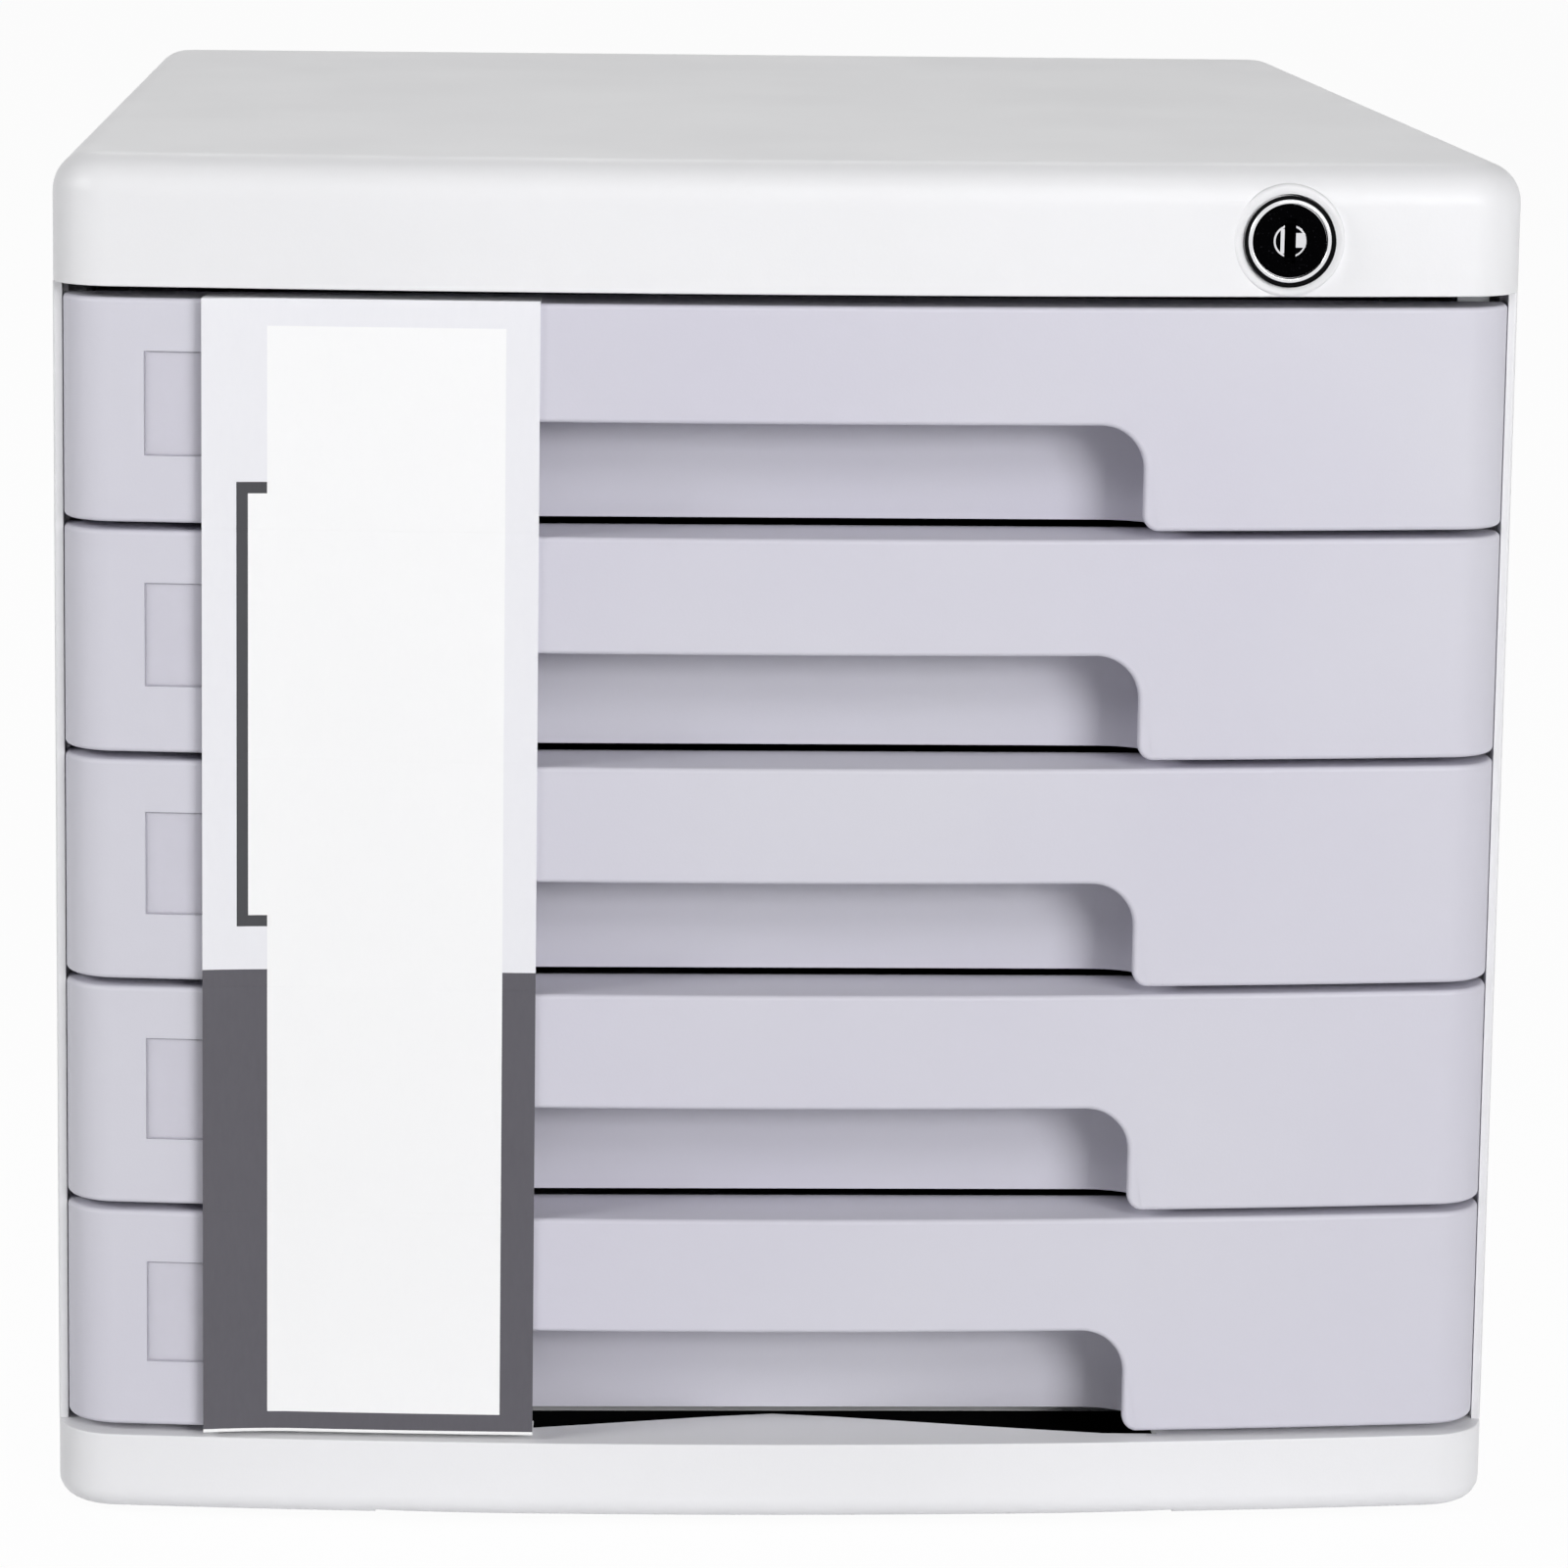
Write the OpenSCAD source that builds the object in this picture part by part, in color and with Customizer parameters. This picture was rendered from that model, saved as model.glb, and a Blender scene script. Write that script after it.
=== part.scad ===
// Five-drawer desktop cabinet for A4 papers, with a bowed front and one lock
// for all drawers. Millimetres. X to the right, Y to the back, Z up. The origin
// is on the table, under the middle of the cabinet.

/* [Case] */
// Width over the side panels
case_w = 270; // [264:1:320]
// Depth from the crown of the bowed front to the back
case_d = 340; // [336:1:380]
// Height of the base moulding
base_h = 14.7; // [12:0.1:22]
// Height of the top cover
cover_h = 24.7; // [24:0.1:34]
// Radius of the gentle bow of the front, seen from above
bow_r = 1250; // [1000:10:2500]
// Radius of the front corners, seen from above
front_corner_r = 12; // [9:0.5:15]
// Radius of the rear corners, seen from above
rear_corner_r = 10; // [7:0.5:14]
// Wall of the top cover and of the base
shell_wall = 2.4; // [2:0.1:3]
// Radius of the upper edge of the top cover
cover_edge_r = 7.5; // [5:0.5:8]
// Radius of the lower edge of the base
base_edge_r = 4; // [2:0.5:5]
// Thickness of a side panel
side_t = 2.5; // [2:0.1:3.2]
// Thickness of the back panel
back_t = 2.4; // [1.6:0.1:3]
// Thickness of the stiffening ribs in the base and the cover
rib_t = 1.6; // [1.2:0.1:2.4]
// Height of the rubber feet below the base
foot_h = 1.6; // [1:0.1:3]
// Diameter of a rubber foot
foot_d = 16; // [12:1:20]
// Distance of the feet from the sides of the case
foot_in = 25; // [20:1:40]

/* [Drawer fronts] */
// Height of one drawer front
front_h = 41.2; // [40:0.1:60]
// Gap between two fronts, and between a front and the base or the cover
front_gap = 1.5; // [1.2:0.1:2.5]
// How far a front stays inside the outline of the case
front_inset = 1.8; // [1:0.1:3]
// Depth of a front from its crown to its rear edge
front_d = 18.2; // [16:0.1:24]
// Wall of a drawer front
front_wall = 2.2; // [1.8:0.1:3]
// Radius of the upper and lower edges of a front
front_edge_r = 1.2; // [0.6:0.1:1.6]
// Width of the handle cut-out
handle_w = 130; // [90:1:136]
// Height of the handle cut-out
handle_h = 19.5; // [16:0.1:24]
// Radius of the upper corners of the handle cut-out
handle_top_r = 8.2; // [4:0.1:10]
// Radius of the lower corners, where the cut-out meets the front's lower edge
handle_foot_r = 3; // [1:0.1:4]
// Radius of the recess's rear corners, seen from above
recess_r = 9; // [4:0.5:11]
// Width of the label window
label_w = 45; // [30:1:48]
// Height of the label window
label_h = 19.3; // [14:0.1:22]
// Distance of the label window from the end of the front
label_in = 15.2; // [14:0.1:18]
// Distance of the label window from the front's upper edge
label_drop = 9.6; // [6:0.1:12]
// Thickness of the clear label window
window_t = 0.6; // [0.4:0.1:0.8]
// Thickness of the card behind the window
card_t = 0.3; // [0.2:0.1:0.4]

/* [Drawer trays] */
// Wall of a tray
tray_wall = 1.8; // [1.4:0.1:2.4]
// Step from a front's edges to the tray's floor and rim
tray_step = 3; // [2:0.1:4]
// Radius of the tray's upright corners
tray_corner_r = 6; // [3:0.5:10]
// Inward lean of the tray's walls from rim to floor
tray_draft = 0.8; // [0.2:0.1:1.5]
// Space between a side panel and a tray, for the rails and the lock bar
rail_space = 16; // [15.5:0.1:20]
// Free space between the trays and the back panel
back_space = 6; // [4:0.5:20]
// Width of the flange that a tray slides on
flange_w = 6.5; // [5:0.1:7]
// Thickness of that flange
flange_t = 2; // [1.6:0.1:2.4]
// Thickness of a rail
rail_t = 2; // [1.6:0.1:2.6]
// Overlap of a flange and its rail
rail_grip = 5; // [3:0.1:5.5]
// Running clearance under and over a flange
run_gap = 0.4; // [0.3:0.05:0.6]
// How far a drawer opens
drawer_travel = 250; // [150:5:260]
// Height of the nibs and stops that end the travel
stop_h = 2.6; // [2:0.1:2.8]

/* [Lock] */
// Distance of the lock from the side of the case
lock_in = 44.8; // [43:0.1:65]
// Distance of the lock below the top of the cover
lock_drop = 13.6; // [13:0.1:14]
// Diameter of the moulded ring round the lock
lock_pad_d = 21.5; // [20:0.1:22]
// Diameter of the chrome collar
collar_d = 17; // [16:0.1:18]
// How far the collar stands out of the moulded ring
collar_t = 1.6; // [1:0.1:2]
// Diameter of the lock's barrel
barrel_d = 13; // [11:0.1:14]
// Diameter of the turning plug
plug_d = 9; // [7:0.1:10]
// Diameter of the plug's black face
plug_face_d = 14; // [12:0.1:15]
// Throw of the cam from the plug's axis to its pin
cam_throw = 7; // [5:0.1:7.2]
// Diameter of the cam's pin
cam_pin_d = 4; // [3:0.1:4.4]
// Thickness of the cam
cam_t = 1.6; // [1.2:0.1:2]
// Thickness of the sheet that the lock bar is cut from
bar_t = 2; // [1.5:0.1:2.4]
// Width of the upright lock bar
bar_w = 6; // [5:0.1:6.5]
// Height of a finger of the lock bar
finger_h = 7; // [5:0.1:7.5]
// Height of the catch on a tray
catch_h = 9; // [7:0.1:9.4]

/* [Paper band] */
// Width of the paper band over the fronts
band_w = 61.5; // [40:0.5:70]
// Distance of the band from the end of the front
band_in = 25.9; // [20:0.1:40]
// Thickness of the band's card
band_t = 0.4; // [0.3:0.05:0.6]
// Length of the fold over the top front and under the bottom front
band_fold = 8; // [4:0.5:12]
// Width of the hairline where the band is cut at a gap
band_cut = 0.3; // [0.2:0.05:0.6]

/* [Fasteners] */
// Diameter of the self-tapping screws
screw_d = 3; // [2.5:0.1:3.5]
// Diameter of a screw's head
screw_head_d = 5.6; // [5:0.1:6.5]
// Height of a screw's head
screw_head_h = 1.8; // [1.4:0.1:2.2]
// Diameter of the bosses that take the screws
boss_d = 8; // [7:0.1:9]

/* [Hidden] */

// The nodes are named for this many drawers, counted from the top
drawer_count = 5;
// Gap between pieces that are seated on each other
fit = 0.1;
// Overlap of features that are fused into one solid
fuse = 0.4;
// Length by which a cut runs past the face that it opens
past = 2;
// Facets of a large round, of a small round and of a hulled one
round_fn = 96;
small_fn = 48;
hull_fn = 32;
// Steps of the bow, of a plan corner and of a rounded edge
bow_steps = 24;
corner_steps = 6;
edge_steps = 5;

pitch = front_h + front_gap;
base_top = foot_h + base_h;
cover_z = base_top + drawer_count * pitch + front_gap;
top_z = cover_z + cover_h;

// Plan outline of the case: the bow's centre and the corners' centres
bow_y = bow_r - case_d / 2;
corner_x = case_w / 2 - front_corner_r;
corner_y = bow_y - sqrt(pow(bow_r - front_corner_r, 2) - pow(corner_x, 2));
bow_a = asin(corner_x / (bow_r - front_corner_r));
rear_x = case_w / 2 - rear_corner_r;
rear_y = case_d / 2 - rear_corner_r;

// Stations from front to back
front_y = -case_d / 2 + front_inset;
tray_y0 = front_y + front_d;
tray_y1 = case_d / 2 - side_t - fit - back_t - back_space;
panel_y0 = tray_y0 + front_gap;
// From the edge of the side panel to the bar's guides
guide_in = 0.9;
guide_gap = 0.3;
guide_wall = 1.1;
bar_y = panel_y0 + guide_in + guide_wall + guide_gap;
// From the back of the lock bar to the catches, and from these to the rails
finger_play = 0.7;
rail_in = 2.5;
catch_y = bar_y + bar_t + finger_play;
rail_y0 = catch_y + rail_in;

// Stations from the middle to the side
tray_x = case_w / 2 - side_t - rail_space;
flange_x = tray_x + flange_w;
rail_x = flange_x - rail_grip;
// From a flange to the bar's leg
leg_gap = 2;
bar_x = flange_x + leg_gap;
inner_x = case_w / 2 - side_t;
front_x = case_w / 2 - front_inset;
label_x = label_in - front_x;
band_x = band_in - front_x;
lock_x = case_w / 2 - lock_in;

// Heights in a drawer, above the lower edge of its front
rim_z = front_h - tray_step;
rail_z = rim_z - flange_t - run_gap - rail_t;
// A finger's top lies this far below the top of the rail, and its foot this far over the catch
finger_drop = 1;
finger_gap = 0.6;
finger_z = rail_z + rail_t - finger_drop - finger_h;
catch_z = finger_z - finger_gap - catch_h;

// Stops at the end of the drawer's travel
nib_d = 6;
nib_in = 0.5;
stop_t = 3;
stop_gap = 0.5;
flange_y1 = tray_y1 - tray_corner_r;
nib_y = flange_y1 - nib_d;
stop_y = nib_y - drawer_travel - stop_gap;

// Lock
lock_z = top_z - lock_drop;
lock_wall_y = bow_at(lock_x, 0);
lock_slope = lock_x / bow_r;
// How far the moulded ring stands out of the cover's wall, in front and behind
pad_out = 0.1;
pad_in = 0.3;
pad_y = lock_wall_y - lock_slope * lock_pad_d / 2 - pad_out;
pad_back_y = lock_wall_y + shell_wall + lock_slope * lock_pad_d / 2 + pad_in;
nut_t = 3;
nut_af = 17;
// From the cam's screw to the bar, from the cam to the barrel, and round the turning plug
cam_gap = 0.7;
barrel_gap = 0.8;
turn_gap = 0.05;
cam_y = bar_y - cam_gap - screw_head_h - cam_t;
barrel_y1 = cam_y - barrel_gap;
plug_face_t = 1.3;
plug_face_gap = 0.2;
tail_d = 5.6;
tail_flat = 4;
cam_angle = 45;
bar_travel = 2 * cam_throw * sin(cam_angle);
pin_gap = 0.4;
slot_half = cam_throw * (1 - cos(cam_angle)) / 2 + cam_pin_d / 2 + pin_gap;
slot_x = lock_x + cam_throw * (1 + cos(cam_angle)) / 2;
slot_z = lock_z + cam_throw * sin(cam_angle);
slot_rim = 2.2;
bar_corner_r = 1.5;
// Free space under the lowered bar
bar_foot = 4;
bar_z0 = base_top + bar_travel + bar_foot;
guide_h = 6;

// Fastener places: from the inside of a side panel, and from the front and the back
base_screw_in = 7.5;
cover_screw_in = 10;
screw_front = 60;
screw_rear = 40;
base_screw_x = inner_x - base_screw_in;
cover_screw_x = inner_x - cover_screw_in;
screw_ys = [screw_front - case_d / 2, case_d / 2 - screw_rear];
// Seats on the side panels for the cover's screws
seat_t = 2.4;
seat_up = 1;
seat_z = cover_z + seat_up;
// Bosses on the side panels, under the base's floor and in the fronts
base_boss_h = 10;
floor_boss_h = 4;
front_boss_d = 7;
front_screw_in = 16;
front_screw_x = tray_x - front_screw_in;
// Length by which a screw bites into its boss, and the blind hole's length
screw_bite = 7;
pilot_len = 9;
// Holes that a screw bites into and that it passes through
pilot_d = screw_d + fit;
clear_d = screw_d + 4 * fit;

// Rubber feet: from the front and the back, the depth of their seats, and the rim round them
foot_front = 40;
foot_rear = 30;
foot_ys = [foot_front - case_d / 2, case_d / 2 - foot_rear];
foot_seat = 1.4;
foot_rim = 2;

// Ribs of the base and the cover: from the middle to each side, to front and back, and to the ends
rib_x = 45;
rib_y = 56;
rib_front = 40;
rib_rear = 20;
cover_rib_h = 5;
base_rib_up = 2;

function front_z(i) = base_top + front_gap + (drawer_count - i) * pitch;

// Where the bow, drawn in by d, lies at a distance x from the middle
function bow_at(x, d) = bow_y - sqrt(pow(bow_r - d, 2) - pow(x, 2));

function arc(cx, cy, r, a0, a1, n) =
    [for (k = [0 : n]) let (a = a0 + (a1 - a0) * k / n) [cx + r * cos(a), cy + r * sin(a)]];

// Outline of the case seen from above, drawn in by d
function plan(d) = concat(
    arc(0, bow_y, bow_r - d, -90 - bow_a, bow_a - 90, bow_steps),
    arc(corner_x, corner_y, front_corner_r - d, bow_a - 90, 0, corner_steps),
    arc(rear_x, rear_y, rear_corner_r - d, 0, 90, corner_steps),
    arc(-rear_x, rear_y, rear_corner_r - d, 90, 180, corner_steps),
    arc(-corner_x, corner_y, front_corner_r - d, -180, -90 - bow_a, corner_steps)
);

// Insets and heights of the rings that round off an edge of radius r at height z,
// going inwards for way = 1, and outwards from below for way = -1
function edge_rings(d, z, r, way) = r <= 0 ? [[d, z]] :
    [for (k = [0 : edge_steps])
        let (a = way > 0 ? 90 * k / edge_steps : 90 - 90 * k / edge_steps)
        [d + r * (1 - cos(a)), z - way * r * (1 - sin(a))]];

// Block with the outline of the case and rounded lower and upper edges
module plan_block(d, z0, z1, r0, r1) {
    rings = concat(edge_rings(d, z0, r0, -1), edge_rings(d, z1, r1, 1));
    n = len(plan(d));
    last = n * (len(rings) - 1);
    polyhedron(
        points = [for (ring = rings) for (p = plan(ring[0])) [p[0], p[1], ring[1]]],
        faces = concat(
            [[for (k = [0 : n - 1]) k]],
            [[for (k = [n - 1 : -1 : 0]) last + k]],
            [for (j = [0 : len(rings) - 2])
                for (k = [0 : n - 1])
                    let (a = j * n, next = (k + 1) % n)
                    each [[a + k, a + n + k, a + n + next], [a + k, a + n + next, a + next]]]
        )
    );
}

// Upright slab that follows the bow from x0 to x1, between two depths behind it
module bow_slab(x0, x1, z0, z1, d0, d1) {
    a0 = asin(x0 / bow_r) - 90;
    a1 = asin(x1 / bow_r) - 90;
    n = bow_steps / 2;
    translate([0, 0, z0])
        linear_extrude(z1 - z0)
            polygon(concat(
                arc(0, bow_y, bow_r - d0, a0, a1, n),
                arc(0, bow_y, bow_r - d1, a1, a0, n)
            ));
}

// Box between two corners
module span_box(a, b) {
    translate(a) cube(b - a);
}

module rod(d, len, fn = small_fn) {
    cylinder(d = d, h = len, $fn = fn);
}

// Rod along Y, from y0 to y1
module rod_y(x, z, d, y0, y1, fn = small_fn) {
    translate([x, y0, z]) rotate([-90, 0, 0]) cylinder(d = d, h = y1 - y0, $fn = fn);
}

// Plate standing in the XZ plane, drawn as [x, z], from y to y + t
module standing(y, t) {
    translate([0, y + t, 0]) rotate([90, 0, 0]) linear_extrude(t) children();
}

// Self-tapping screw with its head at the origin and its shank along +Z
module screw(len) {
    slot_w = 0.9;
    difference() {
        union() {
            rod(screw_head_d, screw_head_h);
            rod(screw_d, screw_head_h + len);
        }
        for (a = [0, 90])
            rotate(a)
                translate([-screw_head_d / 3, -slot_w / 2, -fuse])
                    cube([screw_head_d / 1.5, slot_w, fuse + screw_head_h / 2]);
    }
}

// Rounded rectangle between two corners
module soft_rect(x0, x1, y0, y1, r, fn = small_fn) {
    union() {
        translate([x0 + r, y0]) square([x1 - x0 - 2 * r, y1 - y0]);
        translate([x0, y0 + r]) square([x1 - x0, y1 - y0 - 2 * r]);
        for (x = [x0 + r, x1 - r])
            for (y = [y0 + r, y1 - r])
                translate([x, y]) circle(r, $fn = fn);
    }
}

// ---------------------------------------------------------------- the case

module top_cover() {
    rib_z = top_z - shell_wall;
    rib_z0 = rib_z - cover_rib_h;
    boss_z = seat_z + seat_t;
    color([0.95, 0.95, 0.96])
    difference() {
        union() {
            difference() {
                plan_block(0, cover_z, top_z, 0, cover_edge_r);
                plan_block(shell_wall, cover_z - past, top_z - shell_wall,
                           0, cover_edge_r - shell_wall);
            }
            // moulded ring that stands proud round the lock
            rod_y(lock_x, lock_z, lock_pad_d, pad_y, pad_back_y, round_fn);
            // bosses for the cover's screws
            for (side = [-1, 1])
                for (y = screw_ys)
                    translate([side * cover_screw_x, y, boss_z])
                        rod(boss_d, rib_z - boss_z + fuse);
            // ribs under the top
            for (x = [-rib_x, rib_x])
                span_box([x - rib_t / 2, rib_front - case_d / 2, rib_z0],
                         [x + rib_t / 2, case_d / 2 - rib_rear, rib_z + fuse]);
            for (y = screw_ys)
                span_box([-cover_screw_x, y - rib_t / 2, rib_z0],
                         [cover_screw_x, y + rib_t / 2, rib_z + fuse]);
        }
        rod_y(lock_x, lock_z, barrel_d + 2 * fit, pad_y - past, pad_back_y + past, round_fn);
        for (side = [-1, 1])
            for (y = screw_ys)
                translate([side * cover_screw_x, y, boss_z - past])
                    rod(pilot_d, past + pilot_len);
    }
}

module base() {
    floor_z = base_top - shell_wall;
    rib_z = foot_h + base_rib_up;
    color([0.93, 0.93, 0.93])
    difference() {
        union() {
            difference() {
                plan_block(0, foot_h, base_top, base_edge_r, 0);
                plan_block(shell_wall, foot_h - past, floor_z, 0, 0);
            }
            // ribs under the floor, between the walls
            intersection() {
                plan_block(shell_wall - fuse, foot_h, floor_z + fuse, 0, 0);
                union() {
                    for (x = [-rib_x, rib_x])
                        span_box([x - rib_t / 2, -case_d, rib_z],
                                 [x + rib_t / 2, case_d, base_top]);
                    for (y = [-rib_y, rib_y])
                        span_box([-case_w, y - rib_t / 2, rib_z],
                                 [case_w, y + rib_t / 2, base_top]);
                }
            }
            foot_places() rod(foot_d + 2 * foot_rim, base_h - fuse);
            for (side = [-1, 1])
                for (y = screw_ys)
                    translate([side * base_screw_x, y, floor_z - floor_boss_h])
                        rod(boss_d, floor_boss_h + fuse);
        }
        foot_places() translate([0, 0, -past]) rod(foot_d + 2 * fit, past + foot_seat);
        for (side = [-1, 1])
            for (y = screw_ys)
                translate([side * base_screw_x, y, floor_z - floor_boss_h - past])
                    rod(clear_d, floor_boss_h + shell_wall + 2 * past);
    }
}

module foot_places() {
    for (side = [-1, 1])
        for (y = foot_ys)
            translate([side * (case_w / 2 - foot_in), y, foot_h])
                children();
}

module rubber_feet() {
    edge = 0.6;
    color([0.16, 0.16, 0.17])
    foot_places()
        translate([0, 0, -foot_h])
            rotate_extrude($fn = round_fn)
                polygon([[0, 0], [foot_d / 2 - edge, 0], [foot_d / 2, edge],
                         [foot_d / 2, foot_h + foot_seat], [0, foot_h + foot_seat]]);
}

// Right side panel; the left one is its mirror image
module side_panel() {
    return_w = rear_corner_r + 7;
    tongue_x = case_w / 2 - shell_wall - fit;
    tongue_t = 1.8;
    tongue_h = 6;
    tongue_y0 = panel_y0 + 20;
    tongue_y1 = rear_y - 5;
    gusset_h = 7;
    gusset_lip = 2;
    gusset_in = 12;
    gussets = 5;
    gusset_step = (tray_y1 - rail_y0 - 2 * gusset_in) / (gussets - 1);
    difference() {
        union() {
            // skin, wrapped round the rear corner
            translate([0, 0, base_top])
                linear_extrude(cover_z - base_top)
                    intersection() {
                        difference() {
                            polygon(plan(0));
                            polygon(plan(side_t));
                        }
                        translate([case_w / 2 - return_w, panel_y0])
                            square([return_w, case_d]);
                    }
            // tongue inside the cover's skirt
            span_box([tongue_x - tongue_t, tongue_y0, cover_z - tongue_h],
                     [tongue_x, tongue_y1, cover_z + tongue_h]);
            span_box([tongue_x - tongue_t, tongue_y0, cover_z - tongue_h],
                     [case_w / 2 - side_t / 2, tongue_y1, cover_z - fit]);
            for (y = screw_ys) {
                // seat for the cover's screw
                span_box([cover_screw_x - boss_d / 2, y - boss_d, seat_z],
                         [tongue_x - fuse, y + boss_d, seat_z + seat_t - fit]);
                // boss for the base's screw
                translate([base_screw_x, y, base_top]) rod(boss_d, base_boss_h);
                span_box([base_screw_x, y - rib_t / 2, base_top],
                         [inner_x + fuse, y + rib_t / 2, base_top + base_boss_h]);
            }
            for (i = [1 : drawer_count]) {
                z = front_z(i) + rail_z;
                // rail
                span_box([rail_x, rail_y0, z], [inner_x + fuse, tray_y1, z + rail_t]);
                for (k = [0 : gussets - 1]) {
                    y = rail_y0 + gusset_in + k * gusset_step;
                    standing(y - rib_t / 2, rib_t)
                        polygon([[rail_x + gusset_lip, z + fuse], [inner_x + fuse, z + fuse],
                                 [inner_x + fuse, z - gusset_h]]);
                }
                // stop that the tray's nib meets when the drawer is open
                span_box([rail_x + 2 * nib_in, stop_y - stop_t, front_z(i) + rim_z + run_gap],
                         [inner_x + fuse, stop_y, front_z(i) + rim_z + run_gap + stop_h]);
            }
        }
        for (y = screw_ys) {
            translate([cover_screw_x, y, seat_z - past])
                rod(clear_d, seat_t + 2 * past);
            translate([base_screw_x, y, base_top - past])
                rod(pilot_d, past + pilot_len);
        }
    }
}

module side_panel_right() {
    color([0.87, 0.87, 0.89]) side_panel();
}

module side_panel_left() {
    color([0.87, 0.87, 0.89]) mirror([1, 0, 0]) side_panel();
}

module back_panel() {
    y1 = case_d / 2 - side_t - fit;
    lap = 6;
    rib_d = 2.5;
    rib_in = 12;
    color([0.87, 0.87, 0.89])
    union() {
        span_box([-rear_x, y1 - back_t, base_top], [rear_x, y1, cover_z + lap]);
        for (x = [rib_in - rear_x, 0, rear_x - rib_in])
            span_box([x - rib_t / 2, y1 - back_t - rib_d, base_top + lap],
                     [x + rib_t / 2, y1 - back_t + fuse, cover_z - lap]);
    }
}

module base_screws() {
    color([0.62, 0.63, 0.65])
    for (side = [-1, 1])
        for (y = screw_ys)
            translate([side * base_screw_x, y,
                       base_top - shell_wall - floor_boss_h - screw_head_h])
                screw(floor_boss_h + shell_wall + screw_bite);
}

module cover_screws() {
    color([0.62, 0.63, 0.65])
    for (side = [-1, 1])
        for (y = screw_ys)
            translate([side * cover_screw_x, y, seat_z - screw_head_h])
                screw(seat_t + screw_bite);
}

// --------------------------------------------------------------- the lock

module lock_barrel() {
    len = barrel_y1 - pad_y;
    edge = 0.5;
    rim = (collar_d - plug_face_d) / 2 - fit;
    color([0.80, 0.81, 0.83])
    translate([lock_x, pad_y, lock_z])
        rotate([-90, 0, 0])
            rotate_extrude($fn = round_fn)
                polygon([
                    [plug_d / 2 + turn_gap, len],
                    [barrel_d / 2, len],
                    [barrel_d / 2, 0],
                    [collar_d / 2, 0],
                    [collar_d / 2, -collar_t + edge],
                    [collar_d / 2 - edge, -collar_t],
                    [collar_d / 2 - rim + edge / 2, -collar_t],
                    [collar_d / 2 - rim, -collar_t + edge],
                    [collar_d / 2 - rim, -fit],
                    [plug_d / 2 + turn_gap, -fit]
                ]);
}

module lock_nut() {
    color([0.70, 0.71, 0.73])
    difference() {
        rod_y(lock_x, lock_z, nut_af / cos(30), pad_back_y + fit, pad_back_y + nut_t, 6);
        rod_y(lock_x, lock_z, barrel_d + fit, pad_back_y - past, pad_back_y + nut_t + past,
              round_fn);
    }
}

module lock_plug() {
    key_w = 1.7;
    key_h = 6.4;
    key_d = 9;
    screw_hole = 5;
    face_y = pad_y - plug_face_gap - plug_face_t;
    color([0.10, 0.10, 0.11])
    difference() {
        union() {
            rod_y(lock_x, lock_z, plug_face_d, face_y, face_y + plug_face_t, round_fn);
            rod_y(lock_x, lock_z, plug_d, face_y + fuse, cam_y, round_fn);
            // flatted tail that drives the cam
            intersection() {
                rod_y(lock_x, lock_z, tail_d, cam_y - fuse, cam_y + cam_t - fit, round_fn);
                span_box([lock_x - tail_flat / 2, cam_y - past, lock_z - tail_d],
                         [lock_x + tail_flat / 2, cam_y + past, lock_z + tail_d]);
            }
        }
        // keyway
        span_box([lock_x - key_w / 2, face_y - past, lock_z - key_h / 2],
                 [lock_x + key_w / 2, face_y + key_d, lock_z + key_h / 2]);
        // hole for the cam's screw
        rod_y(lock_x, lock_z, pilot_d, cam_y - screw_hole, cam_y + past);
    }
}

module lock_cam() {
    hub_d = 10;
    eye_d = cam_pin_d + 2.4;
    pin_past = 0.6;
    pin_x = lock_x + cam_throw * cos(cam_angle);
    pin_z = lock_z + cam_throw * sin(cam_angle);
    color([0.72, 0.73, 0.74])
    union() {
        standing(cam_y, cam_t)
            difference() {
                union() {
                    translate([lock_x, lock_z]) circle(d = hub_d, $fn = round_fn);
                    translate([pin_x, pin_z]) circle(d = eye_d, $fn = small_fn);
                    translate([lock_x, lock_z])
                        rotate(cam_angle)
                            translate([0, -eye_d / 2])
                                square([cam_throw, eye_d]);
                }
                intersection() {
                    translate([lock_x, lock_z]) circle(d = tail_d + 2 * fit, $fn = small_fn);
                    translate([lock_x - tail_flat / 2 - fit, lock_z - tail_d])
                        square([tail_flat + 2 * fit, 2 * tail_d]);
                }
            }
        rod_y(pin_x, pin_z, cam_pin_d, cam_y + cam_t - fuse, bar_y + bar_t + pin_past);
    }
}

module cam_screw() {
    color([0.62, 0.63, 0.65])
    translate([lock_x, cam_y + cam_t + screw_head_h, lock_z])
        rotate([90, 0, 0])
            screw(cam_t + 4);
}

// Flat bar: a head with the cam's slot, and an upright leg
module lock_bar() {
    head_h = cam_pin_d + 2 * pin_gap + 2 * slot_rim;
    color([0.72, 0.73, 0.74])
    standing(bar_y, bar_t)
        difference() {
            union() {
                soft_rect(bar_x, bar_x + bar_w, bar_z0, slot_z + head_h / 2, bar_corner_r);
                soft_rect(slot_x - slot_half - slot_rim, bar_x + bar_w,
                          slot_z - head_h / 2, slot_z + head_h / 2, bar_corner_r);
            }
            soft_rect(slot_x - slot_half, slot_x + slot_half,
                      slot_z - cam_pin_d / 2 - pin_gap, slot_z + cam_pin_d / 2 + pin_gap,
                      cam_pin_d / 2);
        }
}

// Fingers welded to the leg of the bar, one for each tray
module bar_fingers() {
    color([0.72, 0.73, 0.74])
    standing(bar_y, bar_t)
        for (i = [1 : drawer_count])
            soft_rect(tray_x + leg_gap, bar_x - fit, front_z(i) + finger_z,
                      front_z(i) + finger_z + finger_h, bar_corner_r);
}

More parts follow.
